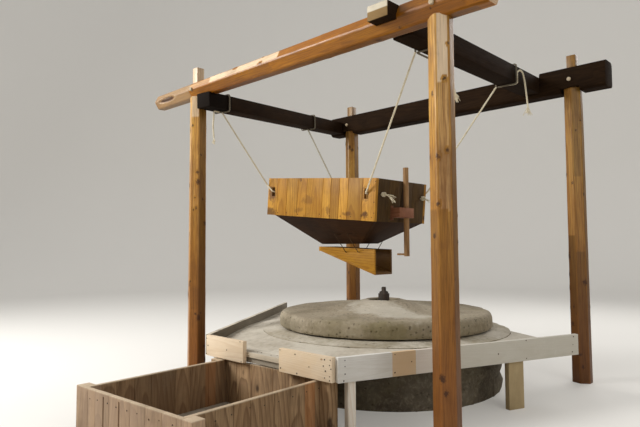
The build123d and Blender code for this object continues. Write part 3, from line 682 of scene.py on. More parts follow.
        # bevelled block between two corners, with upright fibres
        low, high = Vector(low), Vector(high)
        work = bmesh.new()
        bmesh.ops.create_cube(work, size=1.0)
        for v in work.verts:
            v.co = Vector((v.co[k] + 0.5) * (high[k] - low[k]) + low[k] for k in range(3))
        bmesh.ops.bevel(work, geom=work.edges[:], offset=look["bevel"], offset_type="OFFSET", segments=2, profile=0.6,
                        affect="EDGES")
        middle = (low + high) / 2
        rng = random.Random(look["seed"])
        tone = look.get("tone", rng.random())
        shift = Vector((rng.uniform(-0.03, 0.03), rng.uniform(0.02, 0.06), rng.uniform(0, 9)))
        start = len(self.verts)
        work.verts.index_update()
        for v in work.verts:
            self.places.append(tuple(v.co - middle + shift))
            self.tones.append(tone)
            self.states.append(look.get("paleWood", 0.0))
            self.verts.append(v.co.copy())
        self.faces += [[start + v.index for v in f.verts] for f in work.faces]
        work.free()

    def piece(self, name, material):
        mesh = plainMesh(name, self.verts, self.faces, material)
        addTimberPlaces(mesh, self.places, self.tones, self.states)
        editMesh(mesh, turnFacesOut)
        smoothByAngle(mesh, 17)
        return newObject(name, mesh)


posts = {
    "footRadius": 0.0590, "topRadius": 0.0540, "shoulder": 1.830, "halfGapX": 0.925, "halfGapY": 0.780,
    "tenonHalf": 0.027, "seeds": {"front_left": 11, "front_right": 23, "back_left": 37, "back_right": 41},
}
# marks: (flat, from, to, tone, paleness); flat 0 looks towards the flour bin and the next ones follow anticlockwise
postLook = {
    "flats": 6, "around": 72, "rings": 180, "depth": 0.115, "turn": -55.0, "strokeLength": (0.35, 0.85), "knots": 34,
    "facetTone": 0.55, "endBare": 0.4,
}
# painted shade: flat 1, which faces away from the key light, is darkened on every post, as are the lower flats 0 and
# 5 of the back right post and the lower flat 5 of the front right post; the shift of tone given to the back posts
# darkens them all over as painted shade
postMarks = {
    "front_right": {"marks": ((0, 1.53, 1.84, 0.25, 0.9), (0, 0.99, 1.53, 0.30, 0.24), (0, 0.0, 0.99, -0.1, 0.0),
                              (5, 0.99, 1.84, 0.40, 0.05), (5, 0.0, 0.99, -0.45, 0.0), (1, 0.0, 1.84, -0.9, 0.0))},
    "front_left": {"marks": ((0, 1.69, 1.84, 0.1, 0.7), (0, 1.10, 1.69, 0.35, 0.1), (0, 0.5, 1.10, 0.0, 0.05),
                             (5, 0.0, 1.84, 0.5, 0.25), (1, 0.0, 1.84, -1.0, 0.0))},
    "back_right": {"marks": ((1, 0.0, 1.84, -0.6, 0.0), (0, 0.0, 0.8, -0.6, 0.0), (5, 0.0, 0.9, -0.5, 0.0),
                             (5, 0.9, 1.84, 0.5, 0.1)), "paintedShadeShift": -0.30, "knots": 26},
    "back_left": {"marks": ((1, 0.0, 1.84, -0.6, 0.0),), "paintedShadeShift": -0.42},
}
for corner, seed in posts["seeds"].items():
    x = posts["halfGapX"] * (1 if "right" in corner else -1)
    y = posts["halfGapY"] * (1 if "back" in corner else -1)
    timber = TimberMesh()
    timber.log((x, y, 0), (x, y, posts["shoulder"]), posts["footRadius"], posts["topRadius"],
               {**postLook, "seed": seed, **postMarks[corner]})
    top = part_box("post_" + corner)[1].z
    half = posts["tenonHalf"]
    # the back tenons get a dark tone as painted shade; the front tenons are pale planed wood
    timber.block((x - half, y - half, posts["shoulder"] - 0.01), (x + half, y + half, top),
                 {"bevel": 0.003, "seed": seed + 1, **({"tone": -0.7} if "back" in corner else {"paleWood": 0.8})})
    part = timber.piece("post_" + corner + "_log", woods["varnishedLog"])
    finishPiece(part, "frame", "varnished_log", "post_" + corner)
print("posts ready")

frontLog = {
    "left": -1.390, "right": 1.170, "y": -0.780, "axis": 1.8765, "leftRadius": 0.053, "rightRadius": 0.067,
    "lapFrom": 0.621, "lapTo": 0.7375, "lapHeight": 1.858,
}


def lapTheLog(co):
    # flat seat for the right side beam
    if frontLog["lapFrom"] < co.x < frontLog["lapTo"] and co.z > frontLog["lapHeight"]:
        co.z = frontLog["lapHeight"]
    return co


timber = TimberMesh()
timber.log(
    (frontLog["left"], frontLog["y"], frontLog["axis"]), (frontLog["right"], frontLog["y"], frontLog["axis"]),
    frontLog["leftRadius"], frontLog["rightRadius"],
    {"seed": 5, "flats": 6, "around": 72, "rings": 250, "depth": 0.105, "turn": 30.0, "strokeLength": (0.4, 0.9),
     "knots": 26, "facetTone": 0.45, "endBare": 0.55,
     # painted shade: flat 1, the underside, is darkened along the log; the pale stretches of flat 5, the upper front,
     # are partly bare wood and partly a painted highlight
     "marks": ((5, 0.0, 0.40, 0.1, 0.25), (5, 0.40, 0.66, 0.2, 0.45), (5, 0.66, 1.32, 0.35, 0.9),
               (0, 0.0, 0.42, 0.0, 0.15), (0, 0.42, 1.25, -0.35, 0.0), (1, 0.3, 2.5, -0.7, 0.0)),
     # a hollow: (place along the log, facing, half length, half width, depth)
     "scars": ((0.150, (0, -1, -0.15), 0.105, 0.022, 0.013),),
     "sharpAt": (frontLog["lapFrom"] - frontLog["left"], frontLog["lapTo"] - frontLog["left"])},
    lapTheLog,
)
finishPiece(timber.piece("front_log", woods["frontLogWood"]), "frame", "varnished_log", "beam_front")
print("front log ready")


# hewn beams, hopper, funnel, shoe, clapper, bench and bin: cut from the CAD pieces and eased
def hopperSeams(shares):
    return sorted(hopperRight.dot(alongHopper) - 0.970 * share for share in shares)


def binSeams(direction, count, seed):
    rng = random.Random(seed)
    base = binMiddle.dot(direction)
    return [base + (-0.45 + 0.9 * (i + rng.uniform(-0.25, 0.25)) / count) for i in range(count)]


lyingX = {"grain": (1, 0, 0), "across": (0, 1, 0)}
binPlank = {"gap": 0.0014, "bevel": 0.0014}
# piece: CAD nodes, wood, slot, options of sawnBoards
boardPlans = {
    "side_beam_left_hewn": (["side_beam_left"], "leftBeamWood", "dark_beam",
                            {"grain": leftBeam, "across": (0, 0, 1), "bevel": 0.006, "seed": 3}),
    "side_beam_right_hewn": (["side_beam_right"], "rightBeamWood", "dark_beam",
                             {"grain": (0, 1, 0), "across": (0, 0, 1), "bevel": 0.005, "seed": 4}),
    "back_beam_hewn": (["beam_back"], "darkBeam", "dark_beam",
                       {"grain": (1, 0, 0), "across": (0, 0, 1), "bevel": 0.003, "seed": 8}),
    "hopper_long_walls": (["hopper_front", "hopper_back"], "hopperBoard", "golden_board",
                          {"grain": upHopper, "across": alongHopper, "gap": 0.0024, "bevel": 0.0012, "seed": 12,
                           "cuts": hopperSeams((0.105, 0.225, 0.30, 0.376, 0.45, 0.60, 0.69, 0.80, 0.90)),
                           "tones": [0.55, 0.80, 0.62, 0.85, 0.50, 0.62, 0.12, 0.72, 0.05, 0.66]}),
    "hopper_end_walls": (["hopper_left", "hopper_right"], "agedAndShadedBoard", "golden_board",
                         {"grain": upHopper, "across": (0, 1, 0), "gap": 0.0024, "bevel": 0.0012, "seed": 14,
                          "cuts": [-0.13, -0.015, 0.11]}),
    "funnel_boards": (["funnel_front", "funnel_back", "funnel_left", "funnel_right"], "darkBoard", "dark_board",
                      {"grain": alongHopper, "across": (0, 1, 0), "seed": 18}),
    "shoe_boards": (["shoe_front", "shoe_back", "shoe_bottom", "shoe_head"], "shoeBoard", "golden_board",
                    {**lyingX, "bevel": 0.0012, "seed": 21}),
    "clapper_stick_wood": (["clapper_stick"], "turnedWood", "turned_wood", {"seed": 24}),
    "clapper_bar_wood": (["clapper_crossbar", "clapper_cleat"], "crossbarWood", "turned_wood",
                         {**lyingX, "seed": 25}),
    "bush_wood": (["spindle_bush"], "turnedWood", "turned_wood", {"seed": 26}),
    "peg_ends": (["tenon_pegs"], "pegWood", "turned_wood", {"grain": (0, 1, 0), "seed": 27}),
    "deck_planks": (["deck_left", "deck_right", "deck_front"], "flouryPlank", "floury_plank",
                    {**lyingX, "gap": 0.003, "bevel": 0.002, "seed": 31,
                     "cuts": [-0.87, -0.72, -0.58, -0.43, -0.29, -0.14, 0.0, 0.15, 0.30]}),
    "fence_right_board": (["fence_right"], "rightBoardPine", "new_pine",
                          {"grain": rightFence, "across": (0, 0, 1), "bevel": 0.0018, "seed": 33}),
    "fence_left_board": (["fence_left"], "darkGreyPine", "new_pine",
                         {"grain": leftFence, "across": (0, 0, 1), "bevel": 0.0018, "seed": 35}),
    "fence_front_boards": (["fence_front_left", "fence_front_right"], "newPine", "new_pine",
                           {"grain": (1, 0, 0), "across": (0, 0, 1), "bevel": 0.0018, "seed": 36}),
    "front_legs": (["legs_front"], "frontLegPine", "new_pine", {"bevel": 0.0018, "seed": 38}),
    "wide_legs": (["leg_left", "leg_right"], "legPine", "new_pine", {"bevel": 0.0018, "seed": 39}),
    "bench_joists": (["joist_front", "joist_left", "joist_right"], "flouryPlank", "floury_plank",
                     {"grain": (0, 1, 0), "across": (0, 0, 1), "bevel": 0.002, "seed": 40}),
    "bin_long_walls": (["bin_front", "bin_back"], "weatheredPlank", "weathered_plank",
                       {**binPlank, "across": binAlong, "seed": 43, "cuts": binSeams(binAlong, 8, 2)}),
    "bin_end_walls": (["bin_left", "bin_right"], "weatheredPlank", "weathered_plank",
                      {**binPlank, "across": binAcross, "seed": 47, "cuts": binSeams(binAcross, 9, 6)}),
    "bin_floor_boards": (["bin_floor"], "flouryPlank", "weathered_plank",
                         {"grain": binAlong, "across": binAcross, "gap": 0.002, "bevel": 0.0014, "seed": 51,
                          "cuts": binSeams(binAcross, 6, 9)}),
    "bin_corner_posts": (["bin_posts"], "weatheredPlank", "weathered_plank", {"bevel": 0.0025, "seed": 55}),
}
for name, (cadNodes, wood, slotName, options) in boardPlans.items():
    finishPiece(sawnBoards(name, cadNodes, woods[wood], options), "frame", slotName, *cadNodes)
print("boards ready:", len(boardPlans))


# stones
def stoneMaterial(name, look):
    material, bench, shader = newMaterial(name)
    where = bench.add("ShaderNodeTexCoord").outputs["Object"]
    broad = bench.cloud(where, look["broadSize"], 5.0, 0.6, 0.3)
    fine = bench.cloud(where, look["grainSize"], 4.0, 0.7)
    colour = bench.mixColour(bench.spread(broad, 0.36, 0.66), look["base"], look["dark"])
    colour = bench.mixColour(bench.spread(fine, 0.48, 0.66, 0.0, look["lightShare"]), colour, look["light"])
    specks = bench.add("ShaderNodeTexVoronoi", {"feature": "F1"}, Vector=where, Scale=look["pitSize"])
    pick = bench.add("ShaderNodeSeparateColor", None, i0=specks.outputs["Color"])
    pits = bench.times(bench.spread(specks.outputs["Distance"], 0.12, 0.34, 1.0, 0.0),
                       bench.spread(pick.outputs[0], 0.55, 0.62))
    colour = bench.mixColour(bench.times(pits, look["pitShare"]), colour, look["pit"])
    stain = bench.cloud(where, 1.7, 4.0, 0.6, 0.8)
    colour = bench.mixColour(bench.spread(stain, 0.5, 0.7, 0.0, look["stainShare"]), colour, look["stain"])
    colour = addSpots(bench, where, colour, look.get("spots", ()))
    if look["dustAmount"] > 0:
        colour, _ = addDust(bench, where, colour, look)
    height = bench.math("SUBTRACT", bench.plus(fine, bench.times(broad, 0.7)), bench.times(pits, 0.9))
    finishMaterial(
        bench, shader,
        {"Base Color": colour, "Roughness": bench.spread(fine, 0.3, 0.7, 0.78, 0.95), "Specular IOR Level": 0.25},
        height, look["bump"], 0.004,
    )
    return material


runnerLook = {
    "base": tint(160, 148, 126), "dark": tint(133, 121, 100), "light": tint(180, 169, 149), "lightShare": 0.5,
    "pit": tint(79, 70, 56), "pitShare": 0.8, "pitSize": 46.0, "stain": tint(120, 109, 77), "stainShare": 0.55,
    "broadSize": 5.0, "grainSize": 52.0, "bump": 0.8,
    "dust": tint(201, 193, 177), "dustAmount": 0.45, "dustEverywhere": 0.12, "dustSize": 3.2,
}
bedLook = dict(runnerLook, base=tint(171, 161, 141), dark=tint(152, 141, 120), pitSize=36.0, dustAmount=0.7,
               dustEverywhere=0.25, bump=0.5)
clayLook = dict(bedLook, base=tint(179, 169, 152), dark=tint(162, 151, 133), pitSize=30.0, pitShare=0.6, bump=0.3,
                stainShare=0.3, dustAmount=0.8, dustEverywhere=0.3)
pierLook = dict(runnerLook, base=tint(120, 111, 94), dark=tint(86, 77, 64), light=tint(147, 135, 115), pitSize=40.0,
                dustAmount=0.3, dustEverywhere=0.0, bump=0.9)
runnerStoneFinish = stoneMaterial("runnerStoneFinish", dict(runnerLook, spots=(
    ((0.22, -0.24, 0.45), (0.30, 0.13, 0.12), tint(210, 203, 188), 0.5),
    ((0.02, -0.14, 0.49), (0.24, 0.09, 0.06), tint(206, 198, 182), 0.45),
    ((0.42, -0.52, 0.40), (0.16, 0.14, 0.07), tint(120, 110, 70), 0.5),
    ((-0.30, -0.58, 0.38), (0.30, 0.12, 0.05), tint(112, 104, 84), 0.45),
)))
bedStoneFinish = stoneMaterial("bedStoneFinish", bedLook)
pierStoneFinish = stoneMaterial("pierStoneFinish", pierLook)
clayFinish = stoneMaterial("clayFinish", clayLook)


# step: size of a face; dents and knocks: how far apart they lie; knocked: share from which a knock chips the edge
stoneCut = {
    "step": 0.013, "broadDents": 0.09, "fineDents": 0.025, "knocks": 0.06, "knocked": 0.22, "edgeBand": 0.02,
    "footFade": 0.025, "wave": 0.12,
}


def turnedStone(name, outline, segments, roughness, seed, material, chip=0.0):
    # outline: (radius, height) round the section, closed on itself; the first point lies in the bore
    widest = max(r for r, _ in outline)
    points = []
    for (r0, z0), (r1, z1) in zip(outline, outline[1:] + outline[:1]):
        steps = max(1, round(math.hypot(r1 - r0, z1 - z0) / stoneCut["step"]))
        points += [(r0 + (r1 - r0) * i / steps, z0 + (z1 - z0) * i / steps) for i in range(steps)]
    low = min(z for _, z in outline)
    verts, faces = [], []
    for i in range(segments):
        angle = 2 * math.pi * i / segments
        for r, z in points:
            x, y = r * math.cos(angle), r * math.sin(angle)
            dent = wander(seed, (x, y, z), stoneCut["broadDents"]) * 0.6
            dent += wander(seed + 1, (x, y, z), stoneCut["fineDents"]) * 0.4
            knock = wander(seed + 2, (x, y, 0), stoneCut["knocks"])
            outer = r
            if r > outline[0][0] + 0.01:  # the bore stays true
                outer += roughness * (dent - 0.55)
            if chip and r > widest - stoneCut["edgeBand"] and knock > stoneCut["knocked"]:
                outer -= chip * (knock - stoneCut["knocked"]) / 0.5
            fade = min(1.0, (z - low) / stoneCut["footFade"])
            z += fade * roughness * 0.7 * (wander(seed + 3, (x, y, 0), stoneCut["wave"]) - 0.6)
            verts.append((outer * math.cos(angle), outer * math.sin(angle), z))
    count = len(points)
    for i in range(segments):
        j = (i + 1) % segments
        for k in range(count):
            m = (k + 1) % count
            faces.append((i * count + k, i * count + m, j * count + m, j * count + k))
    mesh = plainMesh(name, verts, faces, material)
    editMesh(mesh, turnFacesOut)
    smoothByAngle(mesh, 48)
    return newObject(name, mesh)


runner = {
    "radius": 0.660, "eye": 0.100, "low": 0.355, "rim": 0.445, "segments": 300, "roughness": 0.005, "chips": 0.011,
    "top": ((0.150, 0.4995), (0.200, 0.4868), (0.250, 0.4742), (0.310, 0.4617), (0.400, 0.4507), (0.500, 0.4468),
            (0.600, 0.4456)),
    "crown": 0.512,
}
part = turnedStone(
    "runner_stone_dressed",
    [(runner["eye"], runner["low"]), (runner["eye"], runner["crown"] - 0.009),
     (runner["eye"] + 0.010, runner["crown"] - 0.003)] + list(runner["top"])
    + [(runner["radius"] - 0.030, runner["rim"]), (runner["radius"] - 0.015, runner["rim"] - 0.004),
       (runner["radius"] - 0.006, runner["rim"] - 0.014),
       (runner["radius"], runner["rim"] - 0.032), (runner["radius"], runner["low"] + 0.012),
       (runner["radius"] - 0.006, runner["low"])],
    runner["segments"], runner["roughness"], 61, runnerStoneFinish, runner["chips"],
)
finishPiece(part, "stone_spindle", "millstone", "runner_stone")

bed = {
    "eye": 0.0765, "flat": 0.675, "radius": 0.760, "low": 0.274, "top": 0.347, "rim": 0.333, "segments": 300,
    "roughness": 0.003, "chips": 0.010,
}
part = turnedStone(
    "bedstone_dressed",
    [(bed["eye"], bed["low"]), (bed["eye"], bed["top"]), (bed["flat"], bed["top"]), (bed["radius"], bed["rim"]),
     (bed["radius"], bed["low"])],
    bed["segments"], bed["roughness"], 67, bedStoneFinish, bed["chips"],
)
finishPiece(part, "frame", "millstone", "bedstone")

clay = {
    "inner": 0.7606, "outer": 0.978, "low": 0.3001, "innerTop": 0.3296, "outerTop": 0.3024, "segments": 300,
    "roughness": 0.0035,
}
part = turnedStone(
    "clay_packed",
    [(clay["inner"], clay["low"]), (clay["inner"], clay["innerTop"]), (clay["outer"] - 0.004, clay["outerTop"]),
     (clay["outer"], clay["low"])],
    clay["segments"], clay["roughness"], 69, clayFinish,
)


def trimToDeck(work):
    # the clay stops at the deck's edges
    corners = list(deckCorners.values())
    for start, end in zip(corners, corners[1:] + corners[:1]):
        outward = Vector((end.y - start.y, start.x - end.x, 0)).normalized()
        keepBetween(work, outward, None, outward.dot(start) - 0.0006)
    turnFacesOut(work)


editMesh(part.data, trimToDeck)
smoothByAngle(part.data, 48)
finishPiece(part, "frame", "packed_clay", "clay_collar")
print("stones ready")

# pier: courses of rough blocks with mortar between them
pier = {
    "radius": 0.708, "inner": 0.60, "beds": (0.0, 0.098, 0.186, 0.274), "joint": 0.008, "lengths": (0.20, 0.46),
    "bulge": 0.010, "roundOff": 0.012, "setBack": 0.004, "seed": 71, "segments": 128, "roughness": 0.002,
    "core": ((0.075, 0.020), (0.075, 0.274), (0.400, 0.274), (0.690, 0.274), (0.692, 0.15), (0.690, 0.0),
             (0.0005, 0.0), (0.0005, 0.020)),
}


def roughBlock(work, angle0, angle1, low, high, inner, outer, seed):
    steps = 4
    grid = {}
    for a in range(steps + 1):
        for z in range(4):
            for r, radius in ((0, inner), (1, outer)):
                angle = angle0 + (angle1 - angle0) * a / steps
                height = low + (high - low) * z / 3
                edge = a in (0, steps) or z in (0, 3)
                push = pier["bulge"] * wander(seed, (angle * 0.7, height, 0), 0.05)
                push -= pier["roundOff"] if edge else 0.0
                reach = radius + (push - pier["setBack"] if r else 0)
                grid[a, z, r] = work.verts.new((reach * math.cos(angle), reach * math.sin(angle), height))
    for a in range(steps):
        for z in range(3):
            work.faces.new((grid[a, z, 1], grid[a + 1, z, 1], grid[a + 1, z + 1, 1], grid[a, z + 1, 1]))
            work.faces.new((grid[a, z, 0], grid[a, z + 1, 0], grid[a + 1, z + 1, 0], grid[a + 1, z, 0]))
        work.faces.new((grid[a, 0, 0], grid[a + 1, 0, 0], grid[a + 1, 0, 1], grid[a, 0, 1]))
        work.faces.new((grid[a, 3, 1], grid[a + 1, 3, 1], grid[a + 1, 3, 0], grid[a, 3, 0]))
    for z in range(3):
        work.faces.new((grid[0, z, 1], grid[0, z + 1, 1], grid[0, z + 1, 0], grid[0, z, 0]))
        work.faces.new((grid[steps, z, 0], grid[steps, z + 1, 0], grid[steps, z + 1, 1], grid[steps, z, 1]))


rng = random.Random(pier["seed"])
work = bmesh.new()
gap = pier["joint"] / 2
turnGap = gap / 0.7  # the same gap as an angle, 0.7 m from the middle
lastCourse = len(pier["beds"]) - 2
for course, (low, high) in enumerate(zip(pier["beds"], pier["beds"][1:])):
    angle = rng.uniform(0, 0.4)
    end = angle + 2 * math.pi
    while angle < end - 0.12:
        width = min(rng.uniform(*pier["lengths"]), end - angle)
        if end - angle - width < 0.14:
            width = end - angle
        roughBlock(work, angle + turnGap, angle + width - turnGap, low + (gap if course else 0),
                   high - (gap if course < lastCourse else 0), pier["inner"],
                   pier["radius"] - rng.uniform(0, 0.01), rng.randint(0, 999))
        angle += width
turnFacesOut(work)
mesh = bpy.data.meshes.new("pier_blocks")
work.to_mesh(mesh)
work.free()
mesh.materials.append(pierStoneFinish)
smoothByAngle(mesh, 50)
finishPiece(newObject("pier_blocks", mesh), "frame", "masonry")
core = turnedStone("pier_core", list(pier["core"]), pier["segments"], pier["roughness"], 73, pierStoneFinish)
finishPiece(core, "frame", "masonry", "stone_pier")
print("pier ready")


# iron of the spindle and the rynd
ironLook = dict(
    runnerLook, base=tint(66, 61, 55), dark=tint(44, 40, 36), light=tint(92, 86, 76), lightShare=0.4,
    pit=tint(26, 22, 19), pitSize=160.0, stain=tint(98, 62, 38), stainShare=0.6, grainSize=140.0, bump=0.5,
    dustAmount=0.35, dustEverywhere=0.05, dustSize=20.0,
)
forgedIron = stoneMaterial("forgedIron", ironLook)
tang = {"shoulder": 0.0105, "neck": 0.018, "share": 0.52}  # from the boss up, and how thin the head is forged


def thinTheHead(work):
    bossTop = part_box("rynd")[1].z
    for rise in (tang["shoulder"], tang["neck"]):
        cutAt(work, (0, 0, bossTop + rise), (0, 0, 1))
    for v in work.verts:
        if v.co.z > bossTop + tang["neck"] - 0.001:
            v.co.x *= tang["share"]
            v.co.y *= tang["share"]


for name, node, seed in (("spindle_forged", "spindle", 81), ("rynd_forged", "rynd", 83)):
    part = sawnBoards(name, [node], forgedIron, {"bevel": 0.0022, "seed": seed})
    if node == "spindle":
        editMesh(part.data, thinTheHead)
    finishPiece(part, "stone_spindle", "forged_iron", node)
print("iron ready")


# ropes: strands laid round a path
def makeRopeTree():
    tree, bench, inn, out = openGroup(
        "laidRope", "Geometry",
        {"Geometry": ["Path"], "Int": ["Strands"], "Material": ["Finish"],
         "Float": ["Strand Radius", "Lay Radius", "Twist Length", "Step", "Wear"]},
        {"Geometry": ["Rope"]},
    )
    path = bench.add("GeometryNodeMeshToCurve", None, i0=inn.outputs["Path"])
    even = bench.add("GeometryNodeResampleCurve", {"mode": "LENGTH"}, Curve=path.outputs[0],
                     Length=inn.outputs["Step"])
    copies = bench.add("GeometryNodeDuplicateElements", {"domain": "SPLINE"}, Geometry=even.outputs[0],
                       Amount=inn.outputs["Strands"])
    along = bench.add("GeometryNodeSplineParameter").outputs["Length"]
    turn = bench.plus(bench.math("DIVIDE", along, inn.outputs["Twist Length"]),
                      bench.math("DIVIDE", copies.outputs["Duplicate Index"], inn.outputs["Strands"]))
    turn = bench.times(turn, 2 * math.pi)
    normal = bench.add("GeometryNodeInputNormal").outputs["Normal"]
    tangent = bench.add("GeometryNodeInputTangent").outputs["Tangent"]
    side = bench.vector("CROSS_PRODUCT", tangent, normal)
    arms = [bench.scaled(direction, bench.times(bench.math(share, turn), inn.outputs["Lay Radius"]))
            for direction, share in ((normal, "COSINE"), (side, "SINE"))]
    place = bench.add("GeometryNodeInputPosition").outputs[0]
    rough = bench.add("ShaderNodeTexNoise", None, Vector=place, Scale=70.0, Detail=1.0).outputs["Color"]
    stray = bench.scaled(bench.vector("SUBTRACT", rough, (0.5, 0.5, 0.5)), inn.outputs["Wear"])
    offset = bench.vector("ADD", bench.vector("ADD", *arms), stray)
    laid = bench.add("GeometryNodeSetPosition", None, Geometry=copies.outputs[0], Offset=offset)
    ring = bench.add("GeometryNodeCurvePrimitiveCircle", None, Resolution=6, Radius=inn.outputs["Strand Radius"])
    tube = bench.add("GeometryNodeCurveToMesh", None, Curve=laid.outputs[0])
    bench.put(tube, "Profile Curve", ring.outputs[0])
    bench.put(tube, "Fill Caps", True)
    soft = bench.add("GeometryNodeSetShadeSmooth", None, i0=tube.outputs[0])
    closeTree(bench, soft.outputs[0], inn, out)
    return tree


def runNodes(piece, tree, values):
    # inputs are set by identifier before the piece is first evaluated
    modifier = piece.modifiers.new(tree.name, "NODES")
    modifier.node_group = tree
    for item in tree.interface.items_tree:
        if item.item_type == "SOCKET" and item.in_out == "INPUT" and item.name in values:
            modifier[item.identifier] = values[item.name]
    return applyModifiers(piece)


routeStep = 0.005


def softRoute(points, step=routeStep, rounds=4):
    # even points along straight runs, eased at the corners
    route = [Vector(points[0])]
    for start, end in zip(points, points[1:]):
        start, end = Vector(start), Vector(end)
        count = max(1, round((end - start).length / step))
        route += [start + (end - start) * (i / count) for i in range(1, count + 1)]
    for _ in range(rounds):
        middles = [(a + b * 2 + c) / 4 for a, b, c in zip(route, route[1:], route[2:])]
        route = [route[0]] + middles + [route[-1]]
    return route


def pathPiece(name, chains):
    # chains: (points, stain), 0 for clean twine and 1 for twine stained with the beam
    verts, edges, tones = [], [], []
    for points, stain in chains:
        start = len(verts)
        verts += [tuple(p) for p in points]
        edges += [(start + i, start + i + 1) for i in range(len(points) - 1)]
        tones += [stain] * len(points) if isinstance(stain, (int, float)) else list(stain)
    mesh = bpy.data.meshes.new(name)
    mesh.from_pydata(verts, edges, [])
    layer = mesh.attributes.new("ropeStain", "FLOAT", "POINT")
    layer.data.foreach_set("value", tones)
    return newObject(name, mesh)


def ropeMaterial(name, look):
    material, bench, shader = newMaterial(name)
    where = bench.add("ShaderNodeTexCoord").outputs["Object"]
    stain = bench.attribute("ropeStain")
    fibre = bench.cloud(where, 900.0, 3.0, 0.7)
    soil = bench.cloud(where, 28.0, 4.0, 0.6)
    colour = bench.mixColour(bench.spread(fibre, 0.4, 0.68), look["base"], look["shade"])
    colour = bench.mixColour(bench.spread(soil, 0.5, 0.72, 0.0, 0.5), colour, look["soil"])
    colour = bench.mixColour(bench.times(stain, 0.92), colour, look["stain"])
    finishMaterial(
        bench, shader,
        {"Base Color": colour, "Roughness": bench.spread(fibre, 0.3, 0.7, 0.8, 0.95), "Specular IOR Level": 0.2},
        fibre, 0.6, 0.0006,
    )
    return material


ropeLook = {
    "base": tint(238, 229, 204), "shade": tint(206, 192, 160), "soil": tint(192, 172, 134), "stain": tint(50, 36, 24),
}
cordLook = dict(ropeLook, base=tint(84, 66, 46), shade=tint(54, 40, 27), soil=tint(40, 30, 21))
twine = ropeMaterial("twine", ropeLook)
darkCord = ropeMaterial("darkCord", cordLook)
ropeTree = makeRopeTree()
ropePlan = {"Strands": 3, "Strand Radius": 0.0027, "Lay Radius": 0.0030, "Twist Length": 0.044, "Step": 0.0055,
            "Wear": 0.0012, "Finish": twine}
frayPlan = {"Strands": 1, "Strand Radius": 0.0019, "Lay Radius": 0.0, "Twist Length": 0.05, "Step": 0.008,
            "Wear": 0.004, "Finish": twine}
knotPlan = {"radius": 0.0103, "turns": 2.2, "rise": 0.019, "stain": 0.1}
# hold: from a beam's face to the middle of the rope; drift: how far one turn moves along the beam
tiePlan = {"hold": 0.0068, "drift": 0.014, "halfWidth": 0.0575, "halfHeight": 0.048, "stain": 0.85}
# holes in the hopper's long walls, and the middle of the rope outside and inside a wall
hopperHole = {"height": 0.163, "outside": 0.2688, "inside": 0.2075}


def roundBeam(corners, along):
    # corners of the beam in the order in which the rope passes them
    return [Vector(c) + along * (tiePlan["drift"] * i / len(corners)) for i, c in enumerate(corners)]


def rightTie(y, tail):
    low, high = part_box("side_beam_right")
    hold = tiePlan["hold"]
    left, right, under, over = low.x - hold, high.x + hold, low.z - hold, high.z + hold
    corners = [(left, y, under), (left, y, over), (right, y, over), (right, y, under), (left, y, under)]
    turn = roundBeam(corners, Vector((0, 1, 0)))
    return turn[0], turn + [Vector(p) for p in tail]


def leftTie(y, tail):
    run = leftBeamBack - leftBeamFront
    middle = leftBeamFront + run * ((y - leftBeamFront.y) / run.y)
    half = Vector((leftBeam.y, -leftBeam.x, 0)).normalized() * (tiePlan["halfWidth"] + tiePlan["hold"])
    rise = Vector((0, 0, tiePlan["halfHeight"] + tiePlan["hold"]))
    start = middle - rise
    corners = [start, start - half, middle - half + rise, middle + half + rise, start + half, start]
    return start, roundBeam(corners, leftBeam) + [Vector(p) for p in tail]


def knotAt(place, outward):
    # a stopper knot: a few tight turns round the end of the rope
    outward = Vector(outward).normalized()
    side = outward.orthogonal().normalized()
    other = outward.cross(side)
    start = Vector(place) - outward * (knotPlan["rise"] / 2)
    count = round(knotPlan["turns"] * 10)
    points = []
    for i in range(count + 1):
        angle = 2 * math.pi * knotPlan["turns"] * i / count
        arm = (side * math.cos(angle) + other * math.sin(angle)) * knotPlan["radius"]
        points.append(start + outward * (knotPlan["rise"] * i / count) + arm)
    return points


def throughWalls(x, side, endX):
    # in through a long wall and out through an end wall
    outside, inside = side * hopperHole["outside"], side * hopperHole["inside"]
    return [inHopper(*place, hopperHole["height"]) for place in ((x, outside), (x, inside), (endX, inside))]


# tie: turn on the beam and its hanging end, run: points down to the knot, laid: points that lie on the beam
ropes = {
    "rope_front_right": {
        "tie": rightTie(-0.515, [(0.6135, -0.40, 1.818), (0.6135, -0.19, 1.818), (0.611, -0.165, 1.800),
                                 (0.606, -0.150, 1.745), (0.612, -0.128, 1.690)]),
        "run": throughWalls(-0.072, -1, 0.0173),
        "out": alongHopper, "stain": 0.0, "laid": 7,
    },
    "rope_back_right": {
        "tie": rightTie(0.360, [(0.700, 0.374, 1.8192), (0.7433, 0.374, 1.8192), (0.7440, 0.374, 1.888),
                                (0.752, 0.402, 1.906), (0.755, 0.430, 1.893), (0.754, 0.458, 1.840),
                                (0.752, 0.483, 1.760), (0.752, 0.497, 1.700)]),
        "run": [inHopper(0.0063, hopperHole["outside"], 0.208)] + throughWalls(-0.072, 1, 0.0173),
        "out": alongHopper, "stain": 0.0, "laid": 6,
    },
    "rope_front_left": {
        "tie": leftTie(-0.665, [(-0.812, -0.700, 1.7285), (-0.800, -0.742, 1.7262), (-0.788, -0.752, 1.690),
                                (-0.784, -0.760, 1.620), (-0.780, -0.756, 1.545)]),
        "run": [inHopper(-0.9763, -hopperHole["outside"], 0.208)] + throughWalls(-0.915, -1, -0.9873),
        "out": -alongHopper, "stain": 0.0, "laid": 7,
    },
    "rope_back_left": {
        "tie": leftTie(0.288, [(-0.985, 0.31, 1.778)]),
        "run": [inHopper(-0.765, 0.2745, 0.163), inHopper(-0.765, 0.2232, 0.163)],
        "out": (0, -1, 0), "stain": 0.45, "laid": 9,
    },
}
